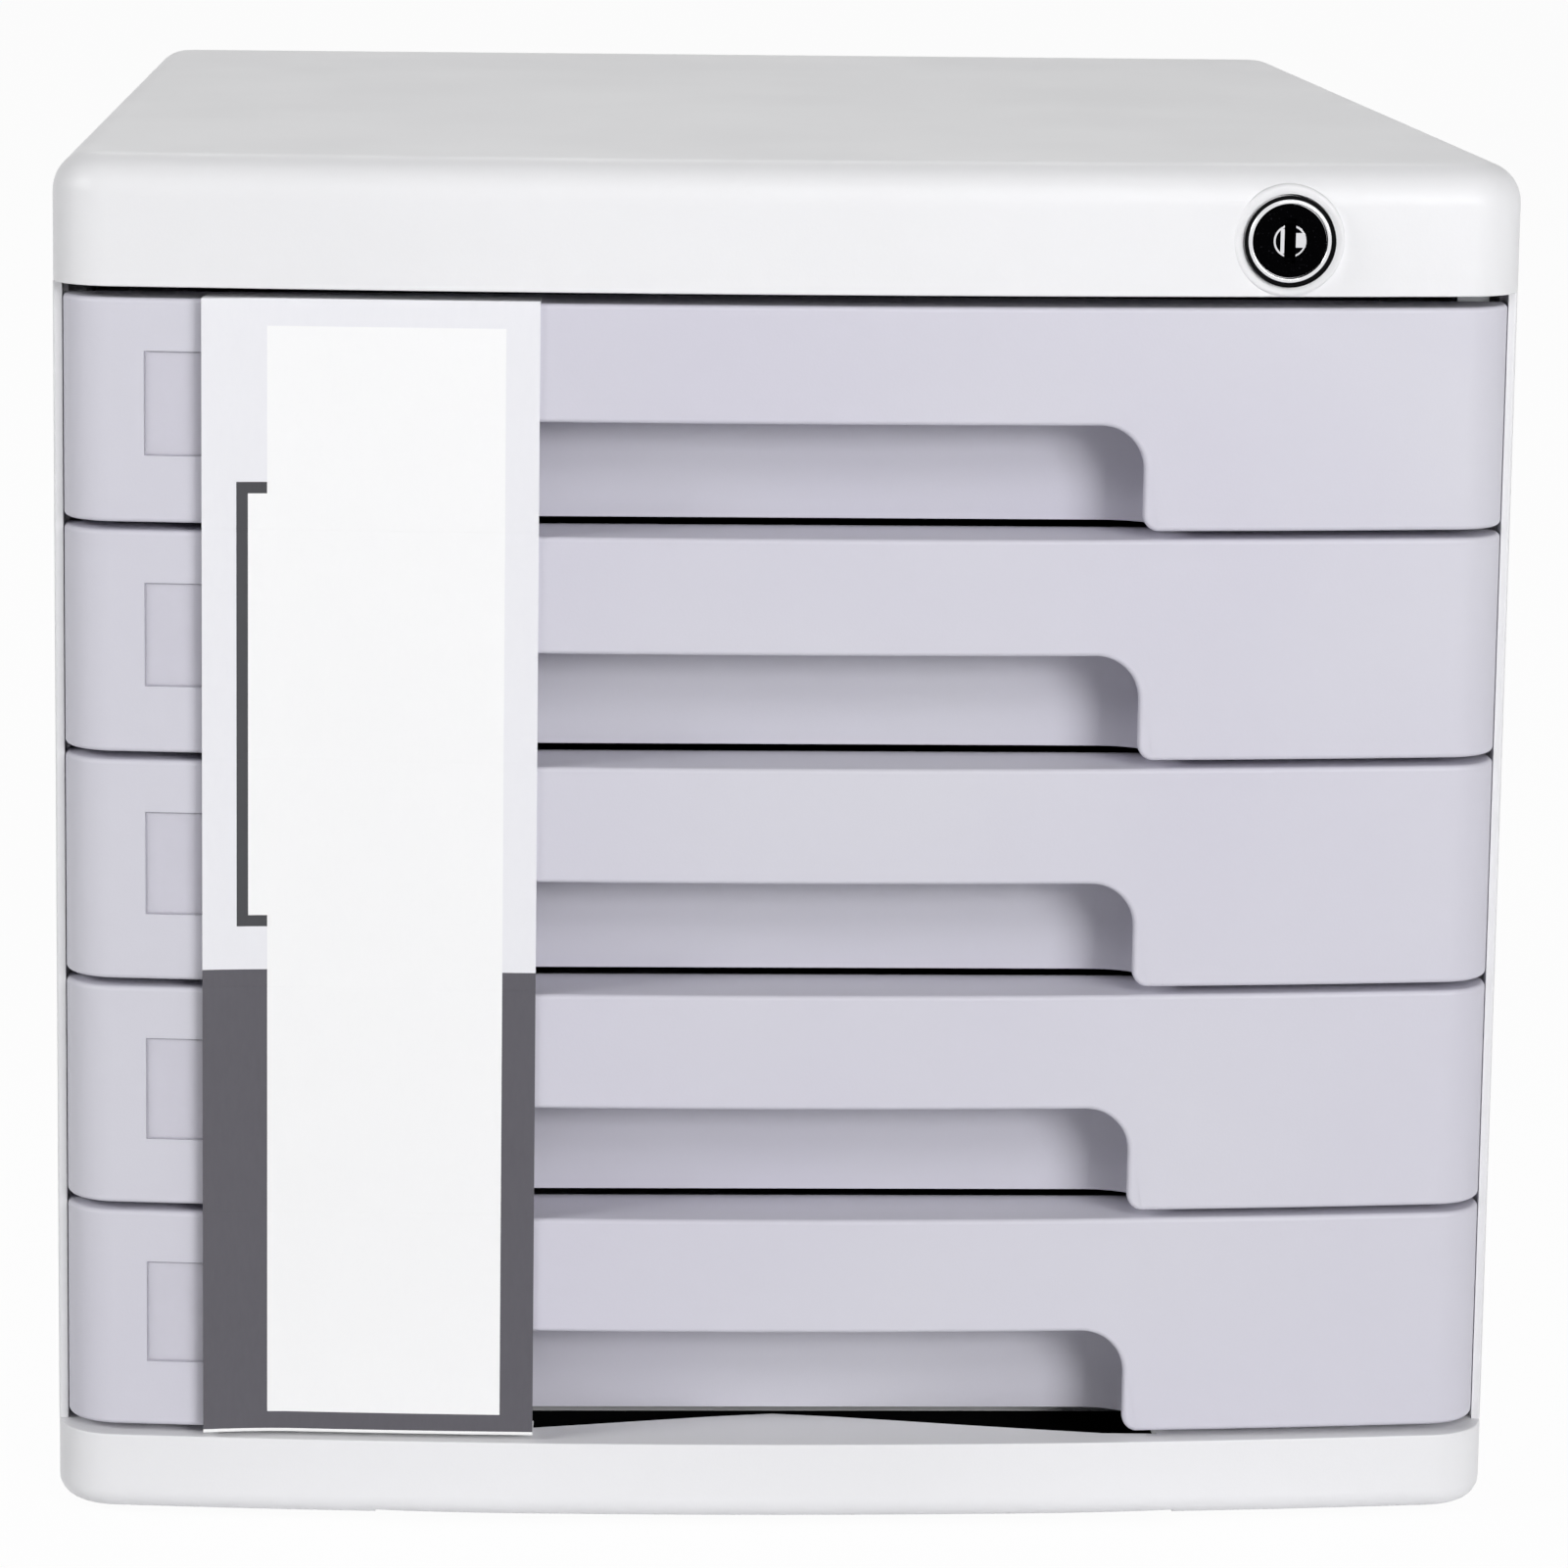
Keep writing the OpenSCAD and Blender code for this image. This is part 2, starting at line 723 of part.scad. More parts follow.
// Loop on the side panel that the bar slides through
module bar_guide(z) {
    color([0.80, 0.80, 0.82])
    difference() {
        span_box([bar_x - guide_gap - guide_wall, bar_y - guide_gap - guide_wall, z],
                 [inner_x, bar_y + bar_t + guide_gap + guide_wall, z + guide_h]);
        span_box([bar_x - guide_gap, bar_y - guide_gap, z - past],
                 [bar_x + bar_w + guide_gap, bar_y + bar_t + guide_gap, z + guide_h + past]);
    }
}

module bar_guide_upper() {
    bar_guide(front_z(1) - guide_h / 2);
}

module bar_guide_lower() {
    bar_guide(front_z(drawer_count - 1) - guide_h / 2);
}

// ------------------------------------------------------------ the drawers

// Rounded block of a tray; its front stays upright, its other walls lean in
module tray_block(inset, z0, z1, y0, y1) {
    skin = 0.01;
    r = tray_corner_r - inset;
    hull()
        for (level = [0, 1]) {
            lean = tray_draft * (1 - level);
            translate([0, 0, level == 0 ? z0 : z1 - skin])
                linear_extrude(skin)
                    for (x = [-1, 1])
                        for (y = [y0 + inset + r, y1 - inset - lean - r])
                            translate([x * (tray_x - inset - lean - r), y])
                                circle(r, $fn = hull_fn);
        }
}

module drawer_tray(i) {
    z = front_z(i);
    floor_z = z + tray_step;
    top = z + rim_z;
    color([0.80, 0.80, 0.84])
    difference() {
        tray_block(0, floor_z, top, tray_y0, tray_y1);
        tray_block(tray_wall, floor_z + tray_wall, top + past, tray_y0, tray_y1);
        for (side = [-1, 1])
            rod_y(side * front_screw_x, z + front_h / 2, clear_d,
                  tray_y0 - past, tray_y0 + tray_wall + past);
    }
}

// Strips welded to the tray's sides, which slide on the rails, each with a nib at its back
module drawer_runners(i) {
    top = front_z(i) + rim_z;
    color([0.80, 0.80, 0.84])
    for (side = [0, 1])
        mirror([side, 0, 0])
            union() {
                span_box([tray_x + fit, catch_y, top - flange_t], [flange_x, flange_y1, top]);
                span_box([rail_x + 3 * nib_in, nib_y, top - fuse],
                         [flange_x - nib_in, nib_y + nib_d, top + stop_h]);
            }
}

// Block welded to the tray's side, which the lowered finger of the lock bar stands before
module drawer_catch(i) {
    catch_d = 6;
    z = front_z(i) + catch_z;
    color([0.80, 0.80, 0.84])
    span_box([tray_x + fit, catch_y, z], [flange_x - nib_in, catch_y + catch_d, z + catch_h]);
}

// Outline of the handle cut-out, which runs on below the front
module handle_profile(z) {
    half = handle_w / 2;
    soft_rect(-half, half, z - handle_h, z + handle_h, handle_top_r, round_fn);
    // flare at the front's lower edge
    difference() {
        translate([-half - handle_foot_r, z - past])
            square([handle_w + 2 * handle_foot_r, past + handle_foot_r]);
        for (side = [-1, 1])
            translate([side * (half + handle_foot_r), z + handle_foot_r])
                circle(handle_foot_r, $fn = small_fn);
    }
}

module drawer_front(i) {
    z0 = front_z(i);
    z1 = z0 + front_h;
    half = handle_w / 2;
    color([0.82, 0.81, 0.86])
    difference() {
        union() {
            difference() {
                intersection() {
                    plan_block(front_inset, z0, z1, front_edge_r, front_edge_r);
                    span_box([-case_w, -case_d, z0 - past], [case_w, tray_y0, z1 + past]);
                }
                // hollow behind the face, open to the tray
                translate([0, 0, z0 + front_wall])
                    linear_extrude(front_h - 2 * front_wall)
                        polygon(plan(front_inset + front_wall));
            }
            // wall round the finger recess
            intersection() {
                translate([0, 0, z0 + front_wall / 2])
                    linear_extrude(front_h - front_wall)
                        soft_rect(-half - front_wall, half + front_wall, -case_d / 2 - recess_r,
                                  tray_y0, recess_r + front_wall, round_fn);
                translate([0, 0, z0])
                    linear_extrude(front_h)
                        polygon(plan(front_inset + front_wall / 2));
            }
            for (side = [-1, 1])
                rod_y(side * front_screw_x, z0 + front_h / 2, front_boss_d,
                      bow_at(front_screw_x, front_inset + front_wall / 2), tray_y0);
        }
        // finger recess
        intersection() {
            translate([0, 0, z0 - past])
                linear_extrude(front_h - front_wall + past)
                    soft_rect(-half, half, -case_d / 2 - 2 * recess_r,
                              tray_y0 - front_wall, recess_r, round_fn);
            translate([0, 0, z0 - past])
                linear_extrude(front_h)
                    polygon(plan(front_inset + front_wall));
        }
        standing(front_y - past, front_d / 2)
            handle_profile(z0);
        bow_slab(label_x, label_x + label_w, z1 - label_drop - label_h, z1 - label_drop,
                 front_inset - past, front_inset + window_t + card_t + fit);
        for (side = [-1, 1])
            rod_y(side * front_screw_x, z0 + front_h / 2, pilot_d,
                  tray_y0 - pilot_len, tray_y0 + past);
    }
}

module front_screws(i) {
    color([0.62, 0.63, 0.65])
    for (side = [-1, 1])
        translate([side * front_screw_x, tray_y0 + tray_wall + screw_head_h,
                   front_z(i) + front_h / 2])
            rotate([90, 0, 0])
                screw(tray_wall + screw_bite);
}

module label_piece(i, d0, d1) {
    z1 = front_z(i) + front_h - label_drop;
    bow_slab(label_x + fit, label_x + label_w - fit, z1 - label_h + fit, z1 - fit, d0, d1);
}

module label_window(i) {
    color([0.80, 0.80, 0.84, 0.5])
    label_piece(i, front_inset, front_inset + window_t);
}

module label_card(i) {
    color([0.90, 0.90, 0.92])
    label_piece(i, front_inset + window_t, front_inset + window_t + card_t);
}

// Strip of the paper band on one front; the outer two fold round its edge
module band_strip(i) {
    gap = 0.05;
    z0 = front_z(i) - front_gap / 2 + band_cut / 2;
    z1 = front_z(i) + front_h + front_gap / 2 - band_cut / 2;
    top = front_z(i) + front_h + gap;
    bottom = front_z(i) - gap;
    x0 = band_x;
    x1 = band_x + band_w;
    d0 = front_inset - gap - band_t;
    d1 = front_inset - gap;
    color(i <= 3 ? [0.94, 0.94, 0.95] : [0.29, 0.29, 0.31])
    union() {
        bow_slab(x0, x1, i == drawer_count ? bottom - band_t : z0,
                 i == 1 ? top + band_t : z1, d0, d1);
        if (i == 1)
            bow_slab(x0, x1, top, top + band_t, d0 + band_t / 2, d0 + band_fold);
        if (i == drawer_count)
            bow_slab(x0, x1, bottom - band_t, bottom, d0 + band_t / 2, d0 + band_fold);
    }
}

top_cover();
base();
side_panel_left();
side_panel_right();
back_panel();
rubber_feet();
base_screws();
cover_screws();
bar_guide_upper();
bar_guide_lower();
lock_barrel();
lock_nut();
lock_plug();
lock_cam();
cam_screw();
lock_bar();
bar_fingers();
for (i = [1 : drawer_count]) {
    drawer_tray(i);
    drawer_runners(i);
    drawer_catch(i);
    drawer_front(i);
    front_screws(i);
    label_window(i);
    label_card(i);
    band_strip(i);
}
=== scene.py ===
"""Looks of a desktop cabinet with five drawers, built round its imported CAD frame.

Metres, in the frame's own axes: X to the right, Y to the back, Z up. The cabinet
stands on z = 0. Pieces are modelled with edit-mode operators, as by hand.
"""

import math

import bmesh
import bpy
from mathutils import Matrix, Vector


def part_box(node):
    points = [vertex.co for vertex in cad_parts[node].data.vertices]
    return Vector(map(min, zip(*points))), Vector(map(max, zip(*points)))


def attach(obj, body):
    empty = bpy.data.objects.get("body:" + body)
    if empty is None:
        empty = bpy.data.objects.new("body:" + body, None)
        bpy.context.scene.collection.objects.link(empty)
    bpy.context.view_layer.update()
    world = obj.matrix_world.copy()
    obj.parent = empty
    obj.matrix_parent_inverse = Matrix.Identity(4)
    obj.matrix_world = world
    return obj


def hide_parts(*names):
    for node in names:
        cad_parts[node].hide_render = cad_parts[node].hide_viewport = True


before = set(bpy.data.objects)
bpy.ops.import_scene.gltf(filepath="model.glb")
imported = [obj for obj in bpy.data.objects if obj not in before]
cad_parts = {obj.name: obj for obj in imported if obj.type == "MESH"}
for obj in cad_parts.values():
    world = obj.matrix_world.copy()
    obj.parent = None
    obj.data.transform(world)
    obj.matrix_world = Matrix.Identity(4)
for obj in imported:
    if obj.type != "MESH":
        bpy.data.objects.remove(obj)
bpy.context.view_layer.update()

MM = 0.001
DRAWERS = range(1, 6)
PHOTO_SIDE = 1601  # the photograph's width and height in pixels

# ------------------------------------------------------------------ the camera

# Where the photograph was taken from, and how: degrees and pixels
CAMERA_AT = Vector((-54.5, -1172.3, 333.4)) * MM
CAMERA_YAW = 2.02
CAMERA_PITCH = 8.67
CAMERA_ROLL = 0.65
FOCAL_PX = 5682
CENTRE_PX = (699, 588)
SENSOR_MM = 36
CLIP_NEAR, CLIP_FAR = 0.05, 50


def add_camera():
    data = bpy.data.cameras.new("camera")
    camera = bpy.data.objects.new("camera", data)
    bpy.context.scene.collection.objects.link(camera)
    yaw, pitch, roll = (math.radians(a) for a in (CAMERA_YAW, CAMERA_PITCH, CAMERA_ROLL))
    ahead = Vector(
        (math.sin(yaw) * math.cos(pitch), math.cos(yaw) * math.cos(pitch), -math.sin(pitch))
    )
    level = Vector((math.cos(yaw), -math.sin(yaw), 0))
    upright = level.cross(ahead)
    right = level * math.cos(roll) + upright * math.sin(roll)
    up = upright * math.cos(roll) - level * math.sin(roll)
    camera.matrix_world = Matrix(
        (
            (right.x, up.x, -ahead.x, CAMERA_AT.x),
            (right.y, up.y, -ahead.y, CAMERA_AT.y),
            (right.z, up.z, -ahead.z, CAMERA_AT.z),
            (0, 0, 0, 1),
        )
    )
    data.sensor_width = SENSOR_MM
    data.lens = FOCAL_PX / PHOTO_SIDE * data.sensor_width
    data.shift_x = (PHOTO_SIDE / 2 - CENTRE_PX[0]) / PHOTO_SIDE
    data.shift_y = (CENTRE_PX[1] - PHOTO_SIDE / 2) / PHOTO_SIDE
    data.clip_start, data.clip_end = CLIP_NEAR, CLIP_FAR
    bpy.context.scene.camera = camera


# ------------------------------------------- sizes, from the frame and the drawing

cover_lo, cover_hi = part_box("top_cover")
front_lo, front_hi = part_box("drawer_front_1")
next_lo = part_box("drawer_front_2")[0]
base_lo, base_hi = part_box("base")
label_lo, label_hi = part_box("label_window_1")
barrel_lo, barrel_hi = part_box("lock_barrel")
plug_lo, plug_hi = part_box("lock_plug")
nut_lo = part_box("lock_nut")[0]
lock_at = (barrel_lo + barrel_hi) / 2
CAM_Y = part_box("lock_cam")[0].y
HALF_W = cover_hi.x
CASE_Y0, CASE_Y1 = cover_lo.y, cover_hi.y
FRONT_BACK_Y = front_hi.y
FRONT_INSET = HALF_W - front_hi.x
PITCH = front_lo.z - next_lo.z

# the case: its bowed front, its corners and its walls
BOW_R = 1250 * MM
FRONT_CORNER_R = 12 * MM
REAR_CORNER_R = 10 * MM
SHELL_WALL = 2.4 * MM
COVER_EDGE_R = 7.5 * MM
COVER_RIM = COVER_EDGE_R + 1 * MM
COVER_LIFT = 0.7 * MM  # the gap between the cover's lower edge and the case
COVER_BREAK = 0.35 * MM
BASE_EDGE_R = 4 * MM
BASE_BREAK = 0.3 * MM

# ribs, screw bosses and foot seats, inside the cover and the base
RIB = 1.6 * MM
RIB_X, RIB_Y = 45 * MM, 56 * MM
COVER_RIB_H = 5 * MM
COVER_RIB_Y0, COVER_RIB_Y1 = -130 * MM, 150 * MM
BASE_RIB_FOOT = 2 * MM  # how far the base's ribs stay above its lower edge
FUSE = 0.2 * MM  # how far ribs and walls run into what they stand on
BOSS_R = 4 * MM
BOSS_H = 4 * MM
SCREW_YS = (-110 * MM, 130 * MM)
COVER_SCREW_X, BASE_SCREW_X = 122.5 * MM, 125 * MM
COVER_BOSS_LIFT = 3.4 * MM
COVER_HOLE_R, BASE_HOLE_R = 1.6 * MM, 1.8 * MM
COVER_HOLE_DEEP = 9 * MM
FOOT_X = 110 * MM
FOOT_YS = (-130 * MM, 140 * MM)
FOOT_SEAT_R = 8.15 * MM
FOOT_SEAT_DEEP = 1.4 * MM
FOOT_RIM = 2 * MM

# the opening in the base's top below the lowest recess: half its width, and how far
# its front edge lies behind the bowed face, in millimetres, from the middle outwards
POCKET_HALF = 72 * MM
POCKET_BACK_Y = -141 * MM
POCKET_FLOOR_Z = 5 * MM
POCKET_EDGE = {0: 19.5, 12: 17.5, 24: 14.8, 37: 11.7, 50: 8.6, 62: 5.8, 72: 5}
POCKET_ROOM = 3 * MM  # the room round the opening that is cut from the ribs
POCKET_ROOM_Y0 = 3.7 * MM
# the near-black sheet under the base's opening: painted shade in the pocket below the lowest
# recess
SHADE_SHEET_REACH = 2 * MM
SHADE_SHEET_Y0 = 4 * MM
SHADE_SHEET_Y1 = 1.8 * MM
SHADE_SHEET_T = 1 * MM
SHADE_SHEET_GAP = 0.2 * MM
SHADE_SHEET_BREAK = 0.2 * MM

# the moulded edge on the front of each side panel
EDGE_W = 1.72 * MM
EDGE_REACH = 4.9 * MM
EDGE_ROUND = 0.6 * MM
EDGE_BREAK = 0.06 * MM

# the drawer fronts, with their handle, recess and label seat
FRONT_WALL = 2.2 * MM
FRONT_EDGE_R = 0.9 * MM
HANDLE_W = 130 * MM
HANDLE_H = 19.5 * MM
HANDLE_TOP_R = 8.2 * MM
HANDLE_FOOT_R = 3 * MM
HANDLE_DEEP = 7 * MM
HANDLE_MARGIN = 5 * MM
FACE_TILT, FACE_TURN = 0.1, 0.5  # the most that the outer face's normal has upwards and back
FACE_NEAR = 0.3 * MM
FLARE_REACH = 15 * MM
RECESS_R = 12 * MM
RECESS_PLATE = 0.8 * MM
RECESS_REACH = 6 * MM  # how far the pocket runs on behind the face at each end
RECESS_SKIN = 0.25 * MM  # how far the pocket cuts into the wall behind the face
RECESS_MID = 8 * MM  # parts the pocket's back edges from its front ones
RECESS_TOP_R = 0.8 * MM
RECESS_FOOT_R = 0.15 * MM
LABEL_SEAT = 1 * MM
LABEL_X0, LABEL_X1 = -118 * MM, -73 * MM
LABEL_GAP = 0.06 * MM
WINDOW_T = 0.6 * MM
WINDOW_BREAK = 0.12 * MM
CARD_T = 0.3 * MM
CARD_INSET = 0.3 * MM
LABEL_STEPS = 24

# the paper band
BAND_X0, BAND_X1 = -107.3 * MM, -45.8 * MM
BAND_T = 0.4 * MM
BAND_FOLD = 8 * MM
BAND_FOLD_R = 0.3 * MM
BAND_CUT = 0.01 * MM  # the cuts between the drawers' strips
BAND_STEPS = 16
DARK_FROM = 4  # the first drawer whose strip is mostly dark
PAPER_GAP = 0.05 * MM
BAND_LIFT = 2.2 * MM  # how far the left edge stands off the fronts
BAND_LIFT_W = 16 * MM
BAND_LIFT_CURL = 1.6
BAND_WHITE_FOOT_Z = 18.05 * MM  # the band is white below this height, along its lower fold
BAND_SPLIT_Z = 105.8 * MM  # light paper above, dark below
# printed places on the band, in millimetres: from and to, across and up
BLANK_PANEL = (-95.3, -51.9, 21.3, 225.2)
FRAME_OUTER = (-100.9, -90, 113.9, 196.6)
FRAME_INNER = (-98.8, -90, 116, 194.5)

# the lock: the cover's ring, the collar, the black ring of painted shadow round it, the plug and
# the rotor
LOCK_PAD_R = 10.3 * MM
LOCK_PAD_EDGE = 0.8 * MM
COLLAR_SEAT_R = 8.5 * MM
COLLAR_SET = 1.4 * MM  # how deep the collar sits in the cover's ring
COLLAR_R = 7.65 * MM
COLLAR_T = 1.6 * MM
COLLAR_ROUND, DISH_ROUND = 0.55 * MM, 0.25 * MM
# the black ring round the collar is painted shadow, shifted to the lower right where the collar's
# shadow lies thicker
SHADOW_RING_R = 8.3 * MM
SHADOW_RING_SHIFT = 0.2 * MM
SHADOW_RING_Y0 = 0.5 * MM
SHADOW_RING_ROUND = 0.3 * MM
SHADOW_RING_GAP = 0.02 * MM
BARREL_R = 6.5 * MM
BARREL_HOLE_R = 6.65 * MM
BARREL_HOLE_DEEP = 20 * MM
LOCK_GAP = 0.1 * MM
FACE_R = 6.65 * MM
FACE_T = 1.3 * MM
FACE_GAP = 0.15 * MM
FACE_ROUND = 0.35 * MM
PLUG_R = 4.5 * MM
PLUG_BREAK = 0.08 * MM
BORE_GAP = 0.05 * MM
TAIL_R = 2.8 * MM
TAIL_FLAT = 4 * MM
ROTOR_R = 3.1 * MM
ROTOR_SET = 0.85 * MM
ROTOR_T = 0.5 * MM
ROTOR_RING = 0.45 * MM
ROTOR_BREAK = 0.12 * MM
ROTOR_SIDES = 64
# the bright parts inside the rotor's ring, in millimetres from its middle: across and up
ROTOR_BARS = ((-1.75, -0.5, -2.25, 2.25), (0.5, 2.8, -1.15, 1.5))
KEY_W, KEY_H = 1.8 * MM, 6.4 * MM
KEY_DEEP = 9 * MM
KEY_MOUTH_W, KEY_MOUTH_H = KEY_W / 2 + 0.15 * MM, 4.1 * MM  # half of the slot's mouth

BOW_Y = CASE_Y0 + BOW_R
CORNER_X = HALF_W - FRONT_CORNER_R
CORNER_Y = BOW_Y - math.sqrt((BOW_R - FRONT_CORNER_R) ** 2 - CORNER_X**2)
BOW_A = math.asin(CORNER_X / (BOW_R - FRONT_CORNER_R))
REAR_X = HALF_W - REAR_CORNER_R
REAR_Y = CASE_Y1 - REAR_CORNER_R

BOW_STEPS = 24
CORNER_STEPS = 10
TINY = 0.01 * MM
PAST = 1 * MM  # how far a tool runs past what it cuts
SLIVER = 0.05 * MM  # keeps two cuts off the same plane
ALONG = 0.99  # a normal this far along an axis lies on it
SMOOTH_ANGLE = 32
FLAT_ANGLE, SHARP_ANGLE = 0.1, 50  # below the one a packed edge is flat, above the other sharp


def bow_at(x, inset):
    """Y of the bowed front, drawn in by inset, at a distance x from the middle."""
    return BOW_Y - math.sqrt((BOW_R - inset) ** 2 - x**2)


# ------------------------------------------------------------- modelling by hand


def deselect():
    bpy.ops.object.select_all(action="DESELECT")


def name_it(name, scale=(1, 1, 1)):
    """The new primitive gets its name and size, and its place goes into its mesh."""
    piece = bpy.context.object
    piece.name = piece.data.name = name
    piece.scale = scale
    bpy.ops.object.transform_apply(location=True, rotation=True, scale=True)
    return piece


def add_block(name, lo, hi):
    deselect()
    lo, hi = Vector(lo), Vector(hi)
    bpy.ops.mesh.primitive_cube_add(size=1, location=(lo + hi) / 2)
    return name_it(name, hi - lo)


def add_leaf(name, x, y0, y1, z0, z1):
    """A rectangle that stands across X."""
    deselect()
    bpy.ops.mesh.primitive_plane_add(
        size=1,
        location=(x, (y0 + y1) / 2, (z0 + z1) / 2),
        rotation=(0, math.pi / 2, 0),
    )
    return name_it(name, (z1 - z0, y1 - y0, 1))


def add_disc(name, x, z, radius, y0, y1, sides=96):
    """A short cylinder along Y."""
    deselect()
    bpy.ops.mesh.primitive_cylinder_add(
        vertices=sides,
        radius=radius,
        depth=y1 - y0,
        location=(x, (y0 + y1) / 2, z),
        rotation=(math.pi / 2, 0, 0),
    )
    return name_it(name)


def add_post(name, x, y, radius, z0, z1, sides=48):
    """A short upright cylinder."""
    deselect()
    bpy.ops.mesh.primitive_cylinder_add(
        vertices=sides, radius=radius, depth=z1 - z0, location=(x, y, (z0 + z1) / 2)
    )
    return name_it(name)


def edit(piece):
    deselect()
    piece.select_set(True)
    bpy.context.view_layer.objects.active = piece
    bpy.ops.object.mode_set(mode="EDIT")
    bpy.ops.mesh.select_all(action="SELECT")


def done():
    bpy.ops.object.mode_set(mode="OBJECT")


def middle(part):
    if isinstance(part, bmesh.types.BMVert):
        return part.co
    if isinstance(part, bmesh.types.BMEdge):
        return (part.verts[0].co + part.verts[1].co) / 2
    return part.calc_center_median()


def pick(kind, test):
    """Selects the vertices, edges or faces of the edited piece that pass the test."""
    bpy.ops.mesh.select_mode(type=kind)
    bpy.ops.mesh.select_all(action="DESELECT")
    mesh = bmesh.from_edit_mesh(bpy.context.object.data)
    mesh.normal_update()
    parts = {"VERT": mesh.verts, "EDGE": mesh.edges, "FACE": mesh.faces}[kind]
    found = [part for part in parts if test(middle(part), part)]
    for part in found:
        part.select_set(True)
    mesh.select_flush_mode()
    bmesh.update_edit_mesh(bpy.context.object.data)
    return len(found)


def extrude(x=0, y=0, z=0):
    bpy.ops.mesh.extrude_region_move(TRANSFORM_OT_translate={"value": (x, y, z)})


def spin_about(x, y, angle, steps):
    """Sweeps the selection round an upright axis, from the left to the front to the right."""
    bpy.ops.mesh.spin(steps=steps, dupli=False, angle=-angle, center=(x, y, 0), axis=(0, 0, 1))


def bevel(offset, segments, corners=False):
    bpy.ops.mesh.bevel(
        offset=offset,
        segments=segments,
        affect="VERTICES" if corners else "EDGES",
        profile=0.5,
        clamp_overlap=False,
    )


def trim(point, away):
    """Cuts the edited piece off at a plane, on the side that away points to, and closes it."""
    bpy.ops.mesh.select_all(action="SELECT")
    bpy.ops.mesh.bisect(plane_co=point, plane_no=away, use_fill=True, clear_outer=True)


def close_up():
    """Merges what lies on the same place and turns the faces outwards."""
    bpy.ops.mesh.select_all(action="SELECT")
    bpy.ops.mesh.remove_doubles(threshold=TINY)
    bpy.ops.mesh.normals_make_consistent(inside=False)


def apply(piece, kind, **settings):
    modifier = piece.modifiers.new(kind.lower(), kind)
    for key, value in settings.items():
        setattr(modifier, key, value)
    deselect()
    piece.select_set(True)
    bpy.context.view_layer.objects.active = piece
    bpy.ops.object.modifier_apply(modifier=modifier.name)


def combine(piece, tool, way):
    """Cuts the tool from the piece, or fuses it on, and throws the tool away."""
    apply(piece, "BOOLEAN", object=tool, operation=way, solver="EXACT")
    bpy.data.objects.remove(tool)


def cut(piece, tool):
    combine(piece, tool, "DIFFERENCE")


def fuse(piece, tool):
    combine(piece, tool, "UNION")


def soften(piece, width, segments=2, angle=40):
    """Breaks the sharp edges of a piece, as a mould or a tool leaves them."""
    apply(
        piece,
        "BEVEL",
        width=width,
        segments=segments,
        limit_method="ANGLE",
        angle_limit=math.radians(angle),
        use_clamp_overlap=True,
        miter_outer="MITER_ARC",
    )


def polish(piece):
    """Smooth shading up to an angle, with the flat faces kept flat."""
    deselect()
    piece.select_set(True)
    bpy.context.view_layer.objects.active = piece
    bpy.ops.object.shade_smooth_by_angle(angle=math.radians(SMOOTH_ANGLE))
    apply(piece, "WEIGHTED_NORMAL", keep_sharp=True, weight=100)


def copy_down(piece, name, drop):
    twin = piece.copy()
    twin.data = piece.data.copy()
    twin.name = twin.data.name = name
    twin.data.transform(Matrix.Translation((0, 0, -drop)))
    bpy.context.scene.collection.objects.link(twin)
    return twin


def add_bow_slab(name, x0, x1, z0, z1, d0, d1, steps=12):
    """An upright slab that follows the bow from x0 to x1, between two depths."""
    piece = add_leaf(name, 0, CASE_Y0 + d0, CASE_Y0 + d1, z0, z1)
    sweep_bow(piece, x0, x1, steps)
    return piece


def sweep_bow(piece, x0, x1, steps):
    """Turns an outline drawn at x = 0 to x0 round the bow's centre, and sweeps it to x1."""
    start, end = math.asin(x0 / BOW_R), math.asin(x1 / BOW_R)
    edit(piece)
    bpy.ops.mesh.spin(steps=1, dupli=True, angle=-start, center=(0, BOW_Y, 0), axis=(0, 0, 1))
    bpy.ops.mesh.select_all(action="INVERT")
    bpy.ops.mesh.delete(type="VERT")
    bpy.ops.mesh.select_all(action="SELECT")
    spin_about(0, BOW_Y, end - start, steps)
    close_up()
    done()


# --------------------------------------------------------------- the top cover


def keep_outline(wanted):
    """Keeps only those edges of the edited leaf whose middle passes the test."""
    pick("FACE", lambda p, part: True)
    bpy.ops.mesh.delete(type="ONLY_FACE")
    pick("EDGE", lambda p, part: not wanted(p))
    bpy.ops.mesh.delete(type="EDGE")
    bpy.ops.mesh.select_all(action="SELECT")


def cap(z):
    """Closes the open outline at one height."""
    pick("EDGE", lambda p, part: part.is_boundary and abs(p.z - z) < TINY)
    bpy.ops.mesh.edge_face_add()


def model_cover():
    low = cover_lo.z + COVER_LIFT
    cover = add_leaf("cover_shell", 0, CASE_Y0, CASE_Y0 + COVER_RIM, low, cover_hi.z)
    edit(cover)
    pick("VERT", lambda p, part: p.y < CASE_Y0 + TINY and p.z > cover_hi.z - TINY)
    bevel(COVER_EDGE_R, segments=12, corners=True)
    keep_outline(lambda p: p.z > low + TINY and p.y < CASE_Y0 + COVER_RIM - TINY)
    sweep_round_case()
    cap(cover_hi.z)
    close_up()
    done()
    apply(cover, "SOLIDIFY", thickness=SHELL_WALL, offset=-1, use_even_offset=True)
    soften(cover, COVER_BREAK, segments=3)
    return cover


